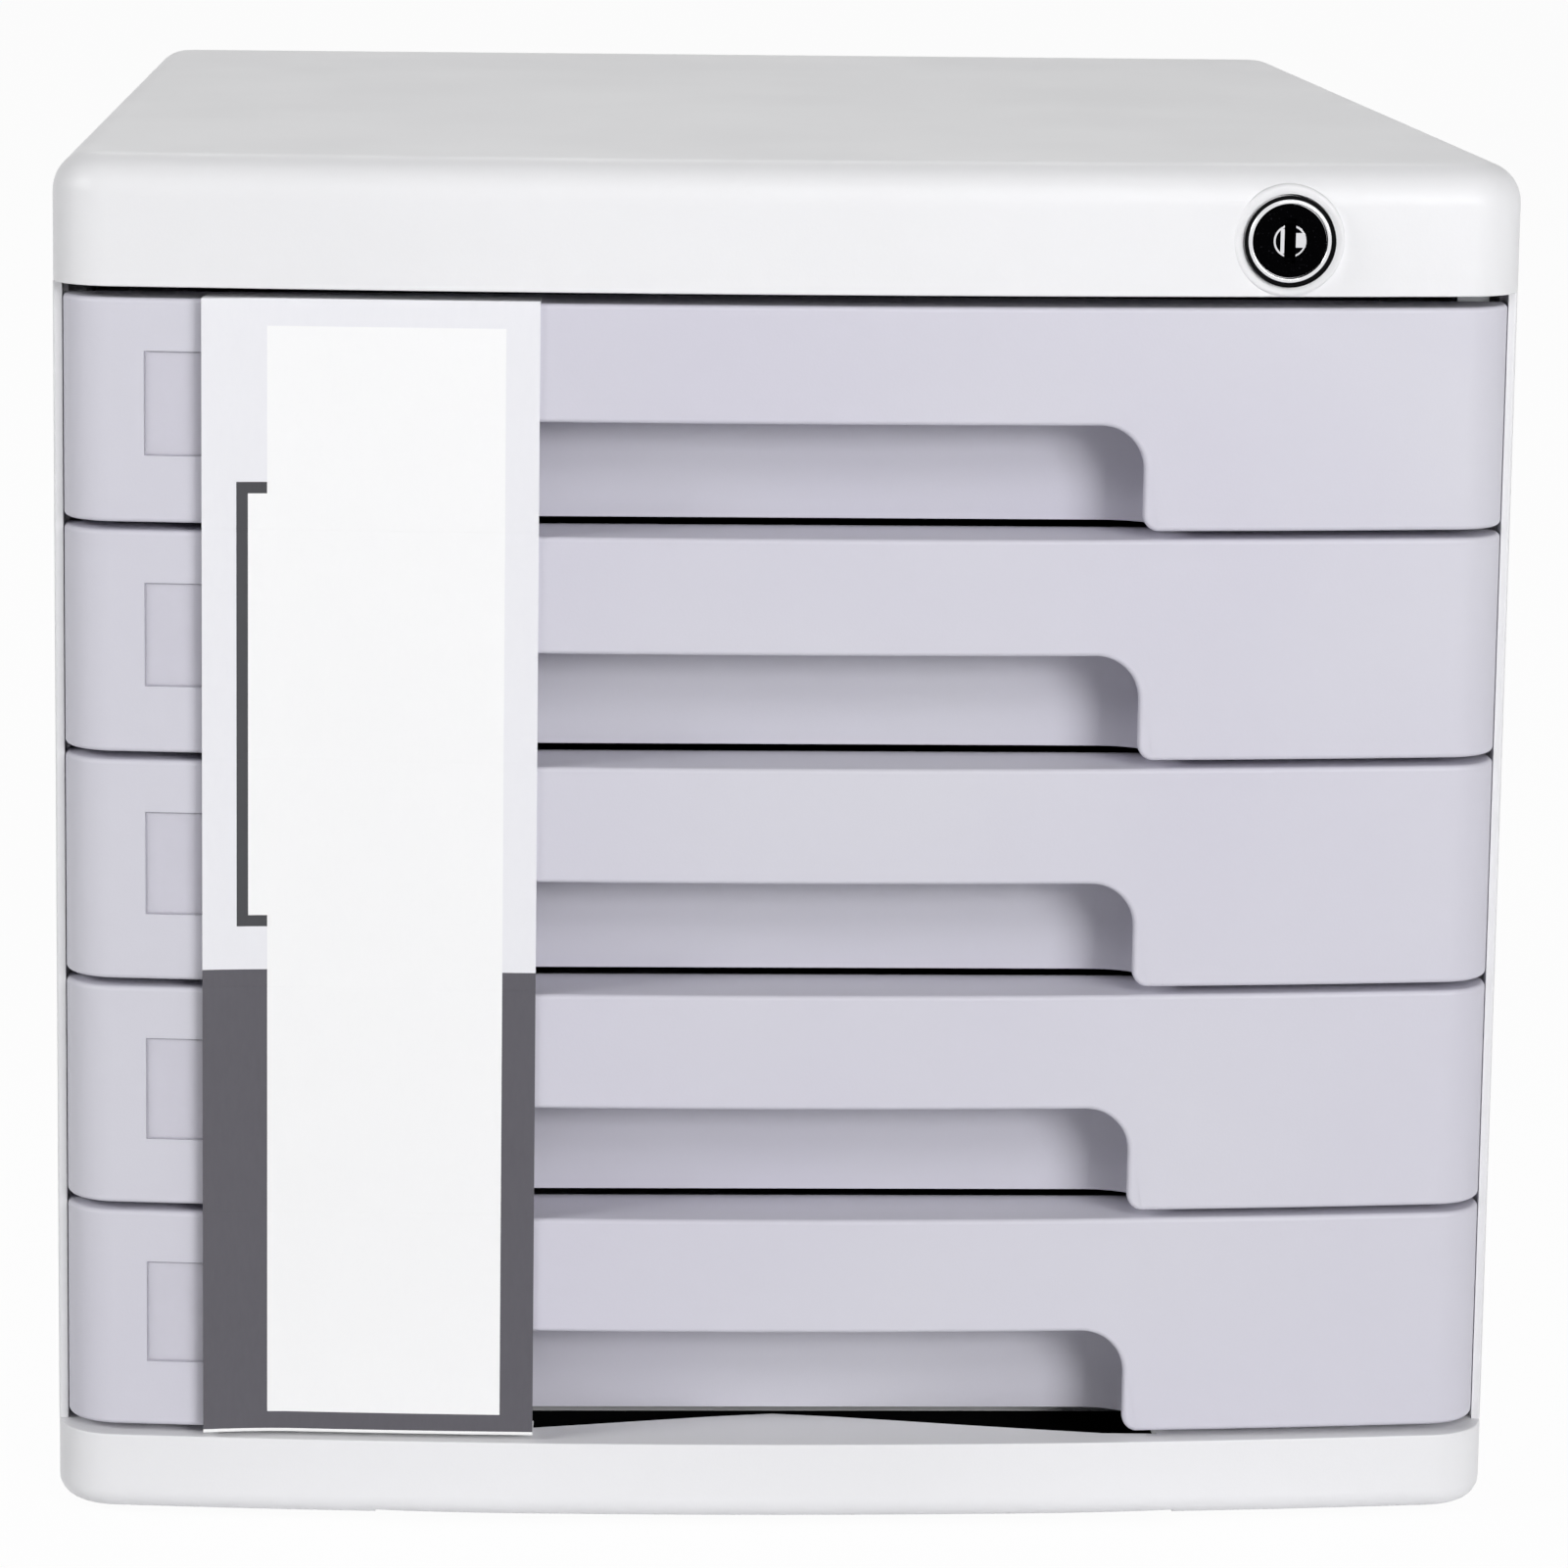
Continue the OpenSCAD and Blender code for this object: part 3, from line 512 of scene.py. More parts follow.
def sweep_round_case():
    """Sweeps the selected line, which stands at x = 0 on the front, all round the case."""
    side = math.pi / 2 - BOW_A
    spin_about(0, BOW_Y, BOW_A, BOW_STEPS // 2)
    spin_about(CORNER_X, CORNER_Y, side, CORNER_STEPS)
    extrude(y=REAR_Y - CORNER_Y)
    spin_about(REAR_X, REAR_Y, math.pi / 2, CORNER_STEPS)
    extrude(x=-2 * REAR_X)
    spin_about(-REAR_X, REAR_Y, math.pi / 2, CORNER_STEPS)
    extrude(y=CORNER_Y - REAR_Y)
    spin_about(-CORNER_X, CORNER_Y, side, CORNER_STEPS)
    spin_about(0, BOW_Y, BOW_A, BOW_STEPS // 2)
    bpy.ops.mesh.select_all(action="SELECT")
    bpy.ops.mesh.remove_doubles(threshold=TINY)


# -------------------------------------------------------------- the drawer fronts


def add_front_block(name, inset, z0, z1, back_y):
    """A block whose face follows the bowed front and its corners, drawn in by inset."""
    x = HALF_W - inset
    side = math.pi / 2 - BOW_A
    block = add_leaf(name, -x, CORNER_Y, back_y, z0, z1)
    edit(block)
    pick("EDGE", lambda p, part: p.y < CORNER_Y + TINY)
    spin_about(-CORNER_X, CORNER_Y, side, CORNER_STEPS)
    spin_about(0, BOW_Y, 2 * BOW_A, BOW_STEPS)
    spin_about(CORNER_X, CORNER_Y, side, CORNER_STEPS)
    extrude(y=back_y - CORNER_Y)
    # the open back, then the top and the bottom
    pick("EDGE", lambda p, part: part.is_boundary and p.y > back_y - TINY)
    bpy.ops.mesh.edge_face_add()
    cap(z0)
    cap(z1)
    close_up()
    done()
    return block


def add_handle_tool(z0, depth_y):
    """The tool that cuts the handle's opening, with the flare at the front's foot."""
    half, low = HANDLE_W / 2, z0 - 5 * TINY
    reach = half + FLARE_REACH
    tool = add_block(
        "handle_tool", (-reach, CASE_Y0 - 5 * PAST, z0 - 5 * PAST), (reach, depth_y, low)
    )
    edit(tool)
    for x in (-half, half):
        bpy.ops.mesh.select_all(action="SELECT")
        bpy.ops.mesh.bisect(plane_co=(x, 0, 0), plane_no=(1, 0, 0))
    pick("FACE", lambda p, part: part.normal.z > ALONG and abs(p.x) < half)
    extrude(z=z0 + HANDLE_H - low)
    pick(
        "EDGE",
        lambda p, part: abs(abs(p.x) - half) < TINY and p.z > z0 + HANDLE_H - TINY,
    )
    bevel(HANDLE_TOP_R, segments=12)
    pick("EDGE", lambda p, part: abs(abs(p.x) - half) < TINY and abs(p.z - low) < TINY)
    bevel(HANDLE_FOOT_R, segments=8)
    close_up()
    done()
    return tool


def on_face(part):
    """Whether a mesh face belongs to the front's outer face."""
    p = part.calc_center_median()
    if abs(part.normal.z) > FACE_TILT or part.normal.y > FACE_TURN:
        return False
    beside_handle = abs(p.x) > HANDLE_W / 2 + HANDLE_MARGIN
    return beside_handle or abs(p.y - bow_at(p.x, FRONT_INSET)) < FACE_NEAR


def add_pocket_tool(name, inset, z0, z1, half, back_y, corner_r):
    """A block behind the bowed face, from -half to half, with its back corners rounded."""
    tool = add_front_block(name, inset, z0, z1, FRONT_BACK_Y)
    edit(tool)
    trim((half, 0, 0), (1, 0, 0))
    trim((-half, 0, 0), (-1, 0, 0))
    if back_y < FRONT_BACK_Y:
        trim((0, back_y, 0), (0, 1, 0))
    pick("EDGE", lambda p, part: p.y > back_y - TINY and abs(abs(p.x) - half) < TINY)
    bevel(corner_r, segments=8)
    close_up()
    done()
    return tool


def model_front():
    """The front of drawer 1: the others are copies of it."""
    z0, z1 = front_lo.z, front_hi.z
    half = HANDLE_W / 2 + RECESS_REACH
    plate_y = FRONT_BACK_Y - RECESS_PLATE
    front = add_front_block("front_1", FRONT_INSET, z0, z1, FRONT_BACK_Y)
    cut(front, add_handle_tool(z0, CASE_Y0 + FRONT_INSET + HANDLE_DEEP))
    edit(front)
    pick(
        "EDGE",
        lambda p, part: len(part.link_faces) == 2
        and on_face(part.link_faces[0]) != on_face(part.link_faces[1])
        and p.y < FRONT_BACK_Y - TINY,
    )
    bevel(FRONT_EDGE_R, segments=5)
    done()
    # hollow behind the face, and the wall round the finger recess
    inner = FRONT_INSET + FRONT_WALL
    low, high = z0 + FRONT_WALL, z1 - FRONT_WALL
    cut(front, add_front_block("hollow", inner, low, high, FRONT_BACK_Y + 2 * PAST))
    wall = add_pocket_tool(
        "recess_wall",
        inner - FUSE,
        z0 + FRONT_WALL / 2,
        z1 - FRONT_WALL / 2,
        half + FRONT_WALL,
        FRONT_BACK_Y,
        RECESS_R + FRONT_WALL,
    )
    fuse(front, wall)
    recess = add_pocket_tool(
        "recess", inner - RECESS_SKIN, z0 - 2 * PAST, high, half, plate_y, RECESS_R
    )
    edit(recess)
    pick("EDGE", lambda p, part: p.z > high - TINY and p.y > CASE_Y0 + RECESS_MID)
    bevel(RECESS_TOP_R, segments=3)
    close_up()
    done()
    cut(front, recess)
    low, high = label_lo.z - LABEL_GAP, label_hi.z + LABEL_GAP
    seat_depth = FRONT_INSET + LABEL_SEAT
    cut(front, add_bow_slab("label_seat", LABEL_X0, LABEL_X1, low, high, 0, seat_depth))
    edit(front)
    pick("EDGE", lambda p, part: abs(p.z - z0) < TINY and abs(p.y - plate_y) < TINY)
    bevel(RECESS_FOOT_R, segments=2)
    done()
    polish(front)
    return front


def cut_lock_seat(cover):
    """The flat moulded ring round the lock, with the collar's seat and the barrel's hole."""
    x, z, pad_y = lock_at.x, lock_at.z, barrel_lo.y + COLLAR_T
    ring = add_disc("lock_ring", x, z, LOCK_PAD_R, pad_y, nut_lo.y - LOCK_GAP)
    edit(ring)
    pick("EDGE", lambda p, part: abs(p.y - pad_y) < TINY)
    bevel(LOCK_PAD_EDGE, segments=6)
    pick("FACE", lambda p, part: part.normal.y < -ALONG and p.y < pad_y + TINY)
    bpy.ops.mesh.inset(thickness=LOCK_PAD_R - LOCK_PAD_EDGE - COLLAR_SEAT_R)
    extrude(y=COLLAR_SET)
    done()
    fuse(cover, ring)
    hole_y0, hole_y1 = pad_y - 5 * PAST, pad_y + BARREL_HOLE_DEEP
    cut(cover, add_disc("barrel_hole", x, z, BARREL_HOLE_R, hole_y0, hole_y1))


def add_ribs(piece, z0, z1, reach_x, rib_xs, rib_ys, y0, y1):
    for x in rib_xs:
        fuse(piece, add_block("rib", (x - RIB / 2, y0, z0), (x + RIB / 2, y1, z1)))
    for y in rib_ys:
        fuse(piece, add_block("rib", (-reach_x, y - RIB / 2, z0), (reach_x, y + RIB / 2, z1)))


def finish_cover(cover):
    """The lock's ring, and the ribs and screw bosses under the top."""
    under = cover_hi.z - SHELL_WALL + FUSE
    cut_lock_seat(cover)
    add_ribs(
        cover,
        under - COVER_RIB_H,
        under,
        COVER_SCREW_X,
        (-RIB_X, RIB_X),
        SCREW_YS,
        COVER_RIB_Y0,
        COVER_RIB_Y1,
    )
    boss_z = cover_lo.z + COVER_BOSS_LIFT
    hole_z0, hole_z1 = boss_z - 5 * PAST, boss_z + COVER_HOLE_DEEP
    for x in (-COVER_SCREW_X, COVER_SCREW_X):
        for y in SCREW_YS:
            fuse(cover, add_post("boss", x, y, BOSS_R, boss_z, under))
            cut(cover, add_post("hole", x, y, COVER_HOLE_R, hole_z0, hole_z1))


# -------------------------------------------------------------------- the base


def model_base():
    """The foot frame: one outline swept round the case, with a top, ribs and foot seats."""
    z0, z1 = base_lo.z, base_hi.z
    base = add_leaf("base_shell", 0, CASE_Y0, CASE_Y0 + COVER_RIM, z0, z1)
    edit(base)
    pick("VERT", lambda p, part: p.y < CASE_Y0 + TINY and p.z < z0 + TINY)
    bevel(BASE_EDGE_R, segments=8, corners=True)
    keep_outline(lambda p: p.z > z0 + TINY and p.y < CASE_Y0 + COVER_RIM - TINY)
    sweep_round_case()
    cap(z1)
    close_up()
    done()
    apply(base, "SOLIDIFY", thickness=SHELL_WALL, offset=-1, use_even_offset=True)
    soften(base, BASE_BREAK, segments=3)
    add_ribs(
        base,
        z0 + BASE_RIB_FOOT,
        z1 - SHELL_WALL / 2,
        HALF_W - SHELL_WALL / 2,
        (-RIB_X, RIB_X),
        (-RIB_Y, RIB_Y),
        bow_at(RIB_X, SHELL_WALL / 2),
        CASE_Y1 - SHELL_WALL / 2,
    )
    inside = z1 - SHELL_WALL / 2
    for x in (-FOOT_X, FOOT_X):
        for y in FOOT_YS:
            fuse(base, add_post("foot_rim", x, y, FOOT_SEAT_R + FOOT_RIM, z0, inside))
            seat_z0, seat_z1 = z0 - 2 * PAST, z0 + FOOT_SEAT_DEEP
            cut(base, add_post("foot_seat", x, y, FOOT_SEAT_R, seat_z0, seat_z1))
    for x in (-BASE_SCREW_X, BASE_SCREW_X):
        for y in SCREW_YS:
            fuse(base, add_post("boss", x, y, BOSS_R, z1 - SHELL_WALL - BOSS_H, inside))
            cut(base, add_post("hole", x, y, BASE_HOLE_R, z0, z1 + 2 * PAST))
    room = add_block(
        "room",
        (-POCKET_HALF - POCKET_ROOM, CASE_Y0 + POCKET_ROOM_Y0, 0),
        (POCKET_HALF + POCKET_ROOM, POCKET_BACK_Y + 2 * PAST, z1 - SHELL_WALL + SLIVER),
    )
    cut(base, room)
    cut(base, add_pocket_cutter(z1))
    return base


def add_pocket_cutter(z1):
    """The tool for the opening in the base's top, with its arched front edge."""
    tool = add_block(
        "pocket",
        (-POCKET_HALF, CASE_Y0, z1 - 2 * SHELL_WALL),
        (POCKET_HALF, POCKET_BACK_Y, z1 + PAST),
    )
    edit(tool)
    for x in POCKET_EDGE:
        for side in (-1, 1) if 0 < x * MM < POCKET_HALF else ():
            bpy.ops.mesh.select_all(action="SELECT")
            bpy.ops.mesh.bisect(plane_co=(side * x * MM, 0, 0), plane_no=(1, 0, 0))
    bpy.ops.mesh.select_all(action="SELECT")
    bpy.ops.mesh.bisect(plane_co=(0, 0, 0), plane_no=(1, 0, 0))
    for x, depth in POCKET_EDGE.items():
        pick("VERT", lambda p, part: abs(abs(p.x) - x * MM) < TINY and p.y < CASE_Y0 + TINY)
        bpy.ops.transform.translate(value=(0, bow_at(x * MM, 0) + depth * MM - CASE_Y0, 0))
    close_up()
    done()
    return tool


def model_shade_sheet():
    """The near-black tray that closes the opening in the base's top from below: painted shade in
    the pocket under the lowest recess.
    """
    x, y0, y1 = POCKET_HALF + SHADE_SHEET_REACH, CASE_Y0 + SHADE_SHEET_Y0, POCKET_BACK_Y + SHADE_SHEET_Y1
    floor_z = POCKET_FLOOR_Z + SHADE_SHEET_T
    shade_sheet = add_block("base_shade_sheet", (-x, y0, POCKET_FLOOR_Z), (x, y1, floor_z))
    edit(shade_sheet)
    pick("FACE", lambda p, part: part.normal.z > ALONG)
    bpy.ops.mesh.inset(thickness=SHADE_SHEET_T)
    pick(
        "FACE",
        lambda p, part: part.normal.z > ALONG and (p.y > y1 - SHADE_SHEET_T or abs(p.x) > x - SHADE_SHEET_T),
    )
    extrude(z=base_hi.z - SHELL_WALL - SHADE_SHEET_GAP - POCKET_FLOOR_Z - SHADE_SHEET_T)
    close_up()
    done()
    soften(shade_sheet, SHADE_SHEET_BREAK)
    polish(shade_sheet)
    return shade_sheet


# -------------------------------------------------- label windows, cards and band


def model_label():
    """The clear window, with its edges broken, and the card behind it."""
    lo, hi = label_lo, label_hi
    x0, x1 = LABEL_X0 + LABEL_GAP, LABEL_X1 - LABEL_GAP
    back = FRONT_INSET + WINDOW_T
    window = add_bow_slab(
        "window_1", x0, x1, lo.z, hi.z, FRONT_INSET, back - PAPER_GAP, LABEL_STEPS
    )
    soften(window, WINDOW_BREAK, segments=3, angle=60)
    polish(window)
    card = add_bow_slab(
        "card_1",
        x0 + CARD_INSET,
        x1 - CARD_INSET,
        lo.z + CARD_INSET,
        hi.z - CARD_INSET,
        back,
        back + CARD_T,
        LABEL_STEPS,
    )
    polish(card)
    return window, card


def model_strip(i):
    """One drawer's part of the paper band, folded over at the band's two ends."""
    z0 = front_lo.z - (i - 1) * PITCH
    z1 = z0 + front_hi.z - front_lo.z
    half_gap = (PITCH - (front_hi.z - front_lo.z)) / 2
    d1 = FRONT_INSET - PAPER_GAP
    d0 = d1 - BAND_T
    low = z0 - half_gap + BAND_CUT / 2
    high = z1 + half_gap - BAND_CUT / 2
    if i == DRAWERS[0]:
        high = z1 + PAPER_GAP + BAND_T
    if i == DRAWERS[-1]:
        low = z0 - PAPER_GAP - BAND_T
    strip = add_bow_slab(f"strip_{i}", BAND_X0, BAND_X1, low, high, d0, d1, BAND_STEPS)
    fold = {DRAWERS[0]: high, DRAWERS[-1]: low}.get(i)
    if fold is not None:
        inward = -1 if i == DRAWERS[0] else 1
        z_low, z_high = sorted((fold, fold + inward * BAND_T))
        from_depth, to_depth = d0 + BAND_T / 2, d0 + BAND_FOLD
        fuse(
            strip,
            add_bow_slab(
                "fold", BAND_X0, BAND_X1, z_low, z_high, from_depth, to_depth, BAND_STEPS
            ),
        )
        edit(strip)
        pick(
            "EDGE",
            lambda p, part: abs(p.z - fold) < TINY
            and abs(bow_depth(p) - d0) < 2 * TINY
            and abs(part.verts[0].co.x - part.verts[1].co.x) > MM,
        )
        bevel(BAND_FOLD_R, segments=4)
        done()
    lift_edge(strip)
    polish(strip)
    return strip


def lift_edge(strip):
    """Lets the band's left edge stand off the fronts a little, as a sprung sheet does."""
    edit(strip)
    columns = sorted({round(v.co.x / MM, 2) for v in bmesh.from_edit_mesh(strip.data).verts})
    for x in columns:
        share = min(1 - (x * MM - BAND_X0) / BAND_LIFT_W, 1)
        if share > 0:
            pick("VERT", lambda p, part: round(p.x / MM, 2) == x)
            bpy.ops.transform.translate(value=(0, -BAND_LIFT * share**BAND_LIFT_CURL, 0))
    done()


def bow_depth(p):
    """How far a point lies behind the case's bowed face."""
    return BOW_R - math.hypot(p.x, p.y - BOW_Y)


# -------------------------------------------------------------------- the lock


def model_collar():
    """The chrome collar: a dished ring in front of a round barrel."""
    x, z = lock_at.x, lock_at.z
    front_y, back_y = barrel_lo.y, barrel_hi.y
    seat_y = front_y + COLLAR_T + COLLAR_SET
    collar = add_disc("lock_collar", x, z, COLLAR_R, front_y, seat_y)
    edit(collar)
    pick("FACE", lambda p, part: part.normal.y > ALONG)
    bpy.ops.mesh.inset(thickness=COLLAR_R - BARREL_R)
    extrude(y=back_y - seat_y)
    done()
    dish_y = front_y + COLLAR_T - LOCK_GAP
    cut(collar, add_disc("dish", x, z, FACE_R + FACE_GAP, front_y - PAST, dish_y))
    cut(collar, add_disc("bore", x, z, PLUG_R + BORE_GAP, front_y - PAST, back_y + PAST))
    edit(collar)
    pick("EDGE", lambda p, part: abs(p.y - front_y) < TINY and lock_radius(p) > COLLAR_R - MM / 4)
    bevel(COLLAR_ROUND, segments=5)
    pick("EDGE", lambda p, part: abs(p.y - front_y) < TINY and lock_radius(p) < FACE_R + MM / 4)
    bevel(DISH_ROUND, segments=3)
    close_up()
    done()
    polish(collar)
    return collar


def model_shadow_ring():
    """The black ring between the collar and the cover: painted shadow round the collar, set off
    to the lower right so that it is thicker there.
    """
    x, z = lock_at.x, lock_at.z
    front_y = barrel_lo.y + SHADOW_RING_Y0
    back_y = barrel_lo.y + COLLAR_T + COLLAR_SET - LOCK_GAP
    # the shift paints the shadow thicker at the lower right
    ring_x, ring_z = x + SHADOW_RING_SHIFT, z - SHADOW_RING_SHIFT
    shadow_ring = add_disc("lock_shadow_ring", ring_x, ring_z, SHADOW_RING_R, front_y, back_y)
    edit(shadow_ring)
    pick("EDGE", lambda p, part: abs(p.y - front_y) < TINY)
    bevel(SHADOW_RING_ROUND, segments=4)
    done()
    cut(shadow_ring, add_disc("bore", x, z, COLLAR_R + SHADOW_RING_GAP, front_y - PAST, back_y + PAST))
    polish(shadow_ring)
    return shadow_ring


def lock_radius(p):
    """How far a point lies from the lock's axis."""
    return math.hypot(p.x - lock_at.x, p.z - lock_at.z)


def model_plug():
    """The black plug: a face with a keyhole, a round body and a flatted tail for the cam."""
    x, z = lock_at.x, lock_at.z
    face_y, tail_y = plug_lo.y, plug_hi.y
    plug = add_disc("plug_face", x, z, FACE_R, face_y, face_y + FACE_T)
    edit(plug)
    pick("EDGE", lambda p, part: p.y < face_y + TINY)
    bevel(FACE_ROUND, segments=4)
    pick("FACE", lambda p, part: part.normal.y > ALONG)
    bpy.ops.mesh.inset(thickness=FACE_R - PLUG_R)
    extrude(y=CAM_Y - face_y - FACE_T)
    bpy.ops.mesh.inset(thickness=PLUG_R - TAIL_R)
    extrude(y=tail_y - CAM_Y)
    done()
    for side in (-1, 1):
        flat = add_block(
            "flat",
            (x + side * TAIL_FLAT / 2, CAM_Y, z - PLUG_R),
            (x + side * (TAIL_FLAT / 2 + 5 * PAST), tail_y + PAST, z + PLUG_R),
        )
        cut(plug, flat)
    # keyhole: a round opening over a tall slot
    cut(plug, add_disc("opening", x, z, ROTOR_R, face_y - PAST, face_y + ROTOR_SET, ROTOR_SIDES))
    mouth = (KEY_MOUTH_W, KEY_MOUTH_H, FACE_T)
    for half_w, half_h, depth in (mouth, (KEY_W / 2, KEY_H / 2, KEY_DEEP)):
        slot = add_block(
            "slot",
            (x - half_w, face_y - PAST, z - half_h),
            (x + half_w, face_y + depth, z + half_h),
        )
        cut(plug, slot)
    soften(plug, PLUG_BREAK)
    polish(plug)
    return plug


def model_rotor():
    """The bright ring and bars that show inside the keyhole's round opening."""
    x, z = lock_at.x, lock_at.z
    y1 = plug_lo.y + ROTOR_SET
    y0 = y1 - ROTOR_T
    rotor = add_disc("lock_rotor", x, z, ROTOR_R - LOCK_GAP, y0, y1, ROTOR_SIDES)
    inner_r = ROTOR_R - ROTOR_RING
    cut(rotor, add_disc("groove", x, z, inner_r, y0 - PAST, y1 + PAST, ROTOR_SIDES))
    for x0, x1, z0, z1 in ROTOR_BARS:
        low, high = (x + x0 * MM, y0, z + z0 * MM), (x + x1 * MM, y1, z + z1 * MM)
        fuse(rotor, add_block("bar", low, high))
    slot = add_block(
        "slot",
        (x - KEY_MOUTH_W, y0 - PAST, z - 5 * PAST),
        (x + KEY_MOUTH_W, y1 + PAST, z + 5 * PAST),
    )
    cut(rotor, slot)
    soften(rotor, ROTOR_BREAK, segments=3)
    polish(rotor)
    return rotor


# ------------------------------------------------------- edges of the side panels


def model_panel_edge():
    """The rounded edge moulding on the left panel's front, beside the drawer fronts."""
    panel_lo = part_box("side_panel_left")[0]
    x0, x1 = panel_lo.x, panel_lo.x + EDGE_W
    y1 = panel_lo.y - 2 * TINY
    y0 = y1 - EDGE_REACH
    low, high = base_hi.z + 5 * TINY, cover_lo.z + COVER_LIFT - 10 * TINY
    moulding = add_block("edge_left", (x0, y0, low), (x1, y1, high))
    edit(moulding)
    pick("EDGE", lambda p, part: abs(p.x - x0) < TINY and abs(p.y - y0) < TINY)
    bevel(EDGE_ROUND, segments=5)
    close_up()
    done()
    soften(moulding, EDGE_BREAK)
    polish(moulding)
    return moulding


def mirror_copy(piece, name):
    """A copy of the piece on the other side of the cabinet."""
    twin = copy_down(piece, name, 0)
    twin.data.transform(Matrix.Scale(-1, 4, (1, 0, 0)))
    edit(twin)
    close_up()
    done()
    return twin


# ------------------------------------------------------------------- materials


def srgb(*levels):
    """A colour written as 0 to 255 on screen, as the shader takes it."""
    levels = [level / 255 for level in levels]
    linear = (v / 12.92 if v <= 0.04045 else ((v + 0.055) / 1.055) ** 2.4 for v in levels)
    return (*linear, 1)


class Finish:
    """A material built of nodes that read the piece's own coordinates."""

    def __init__(self, name, **sockets):
        self.material = bpy.data.materials.new(name)
        self.material.use_nodes = True
        self.tree = self.material.node_tree
        self.shader = self.tree.nodes["Principled BSDF"]
        self.place = self.tree.nodes.new("ShaderNodeTexCoord").outputs["Object"]
        for key, value in sockets.items():
            self.shader.inputs[key.replace("_", " ")].default_value = value

    def node(self, kind, links=None, **settings):
        node = self.tree.nodes.new("ShaderNode" + kind)
        for key, value in settings.items():
            setattr(node, key, value)
        for key, value in (links or {}).items():
            if isinstance(value, bpy.types.NodeSocket):
                self.tree.links.new(value, node.inputs[key])
            else:
                node.inputs[key].default_value = value
        return node

    def to(self, socket, value):
        self.tree.links.new(value, self.shader.inputs[socket])

    def stretched(self, scale):
        return self.node("Mapping", {"Vector": self.place, "Scale": scale}).outputs["Vector"]

    def noise(self, size, detail=3, place=None, rough=0.5):
        """Noise whose lumps are about size across, in metres."""
        links = {"Vector": place or self.place, "Scale": 1 / size}
        links |= {"Detail": detail, "Roughness": rough}
        return self.node("TexNoise", links).outputs["Fac"]

    def between(self, value, low, high, start=0.3, end=0.7):
        return self.node(
            "MapRange",
            {"Value": value, "From Min": start, "From Max": end, "To Min": low, "To Max": high},
        ).outputs["Result"]

    def mix(self, factor, first, second):
        node = self.node("Mix", {"Factor": factor}, data_type="RGBA")
        for socket, value in ((node.inputs[6], first), (node.inputs[7], second)):
            if isinstance(value, bpy.types.NodeSocket):
                self.tree.links.new(value, socket)
            else:
                socket.default_value = value
        return node.outputs[2]

    def maths(self, way, first, second):
        return self.node("Math", {0: first, 1: second}, operation=way).outputs[0]

    def bumps(self, *layers):
        """Bump from layers of height, each with its depth in metres."""
        normal = None
        for height, depth in layers:
            links = {"Height": height, "Strength": 1, "Distance": depth}
            if normal is not None:
                links["Normal"] = normal
            normal = self.node("Bump", links).outputs["Normal"]
        self.to("Normal", normal)


def moulded(name, colour, shade, low, high, grain=0.45 * MM, depth=0.012 * MM):
    """Moulded plastic: soft clouding, a fine satin grain, and roughness that wanders a little."""
    f = Finish(name, IOR=1.5, Specular_IOR_Level=0.35)
    clouds = f.noise(0.09, 2)
    f.to("Base Color", f.mix(f.between(clouds, 0, 1), srgb(*colour), srgb(*shade)))
    smears = f.noise(0.03, 4, rough=0.6)
    f.to("Roughness", f.between(smears, low, high))
    f.bumps((f.noise(grain, 2), depth), (f.noise(0.05, 1), 0.25 * MM))
    return f.material


def steel(name, colour, shade, low, high, stretch):
    """Plated sheet or turned steel, with marks drawn out one way."""
    f = Finish(name, Metallic=1.0)
    marks = f.noise(0.4 * MM, 4, f.stretched(stretch))
    spangle = f.noise(6 * MM, 2)
    f.to("Base Color", f.mix(f.between(spangle, 0, 1), srgb(*colour), srgb(*shade)))
    f.to("Roughness", f.between(marks, low, high))
    f.bumps((marks, 0.01 * MM))
    return f.material


def black_plug():
    """Glossy black plastic with a faint silver fleck."""
    f = Finish("plug_black", Specular_IOR_Level=0.0)
    fleck = f.between(f.noise(0.35 * MM, 1), 0, 1, 0.66, 0.74)
    f.to("Base Color", f.mix(fleck, srgb(4, 4, 5), srgb(30, 30, 33)))
    f.to("Roughness", f.between(f.noise(1.5 * MM), 0.3, 0.45))
    f.bumps((f.noise(0.3 * MM), 0.02 * MM))
    return f.material


def rubber(name, colour, shade, gloss):
    """Matt black rubber or dull dark plastic, with a fine rough skin; its near-black tones also
    serve as painted shade and painted shadow.
    """
    f = Finish(name, Roughness=0.85, Specular_IOR_Level=gloss)
    f.to("Base Color", f.mix(f.noise(2 * MM), srgb(*colour), srgb(*shade)))
    f.bumps((f.noise(0.6 * MM, 4), 0.06 * MM))
    return f.material


def window_plastic():
    """Thin clear window: mostly see-through, with a gloss and faint scuffs."""
    f = Finish("window_plastic", IOR=1.49, Alpha=0.3)
    f.shader.inputs["Base Color"].default_value = srgb(222, 220, 230)
    f.to("Roughness", f.between(f.noise(4 * MM, 5, f.stretched((1, 1, 0.3))), 0.12, 0.3))
    f.bumps((f.noise(8 * MM, 2), 0.01 * MM))
    return f.material


def paper(name, colour, shade):
    """Uncoated card: a faint fibre in colour and bump."""
    f = Finish(name, Roughness=0.8)
    fibre = f.noise(0.7 * MM, 5, f.stretched((1, 1, 0.25)), 0.7)
    f.to("Base Color", f.mix(f.between(fibre, 0, 1), srgb(*colour), srgb(*shade)))
    f.bumps((fibre, 0.015 * MM))
    return f.material


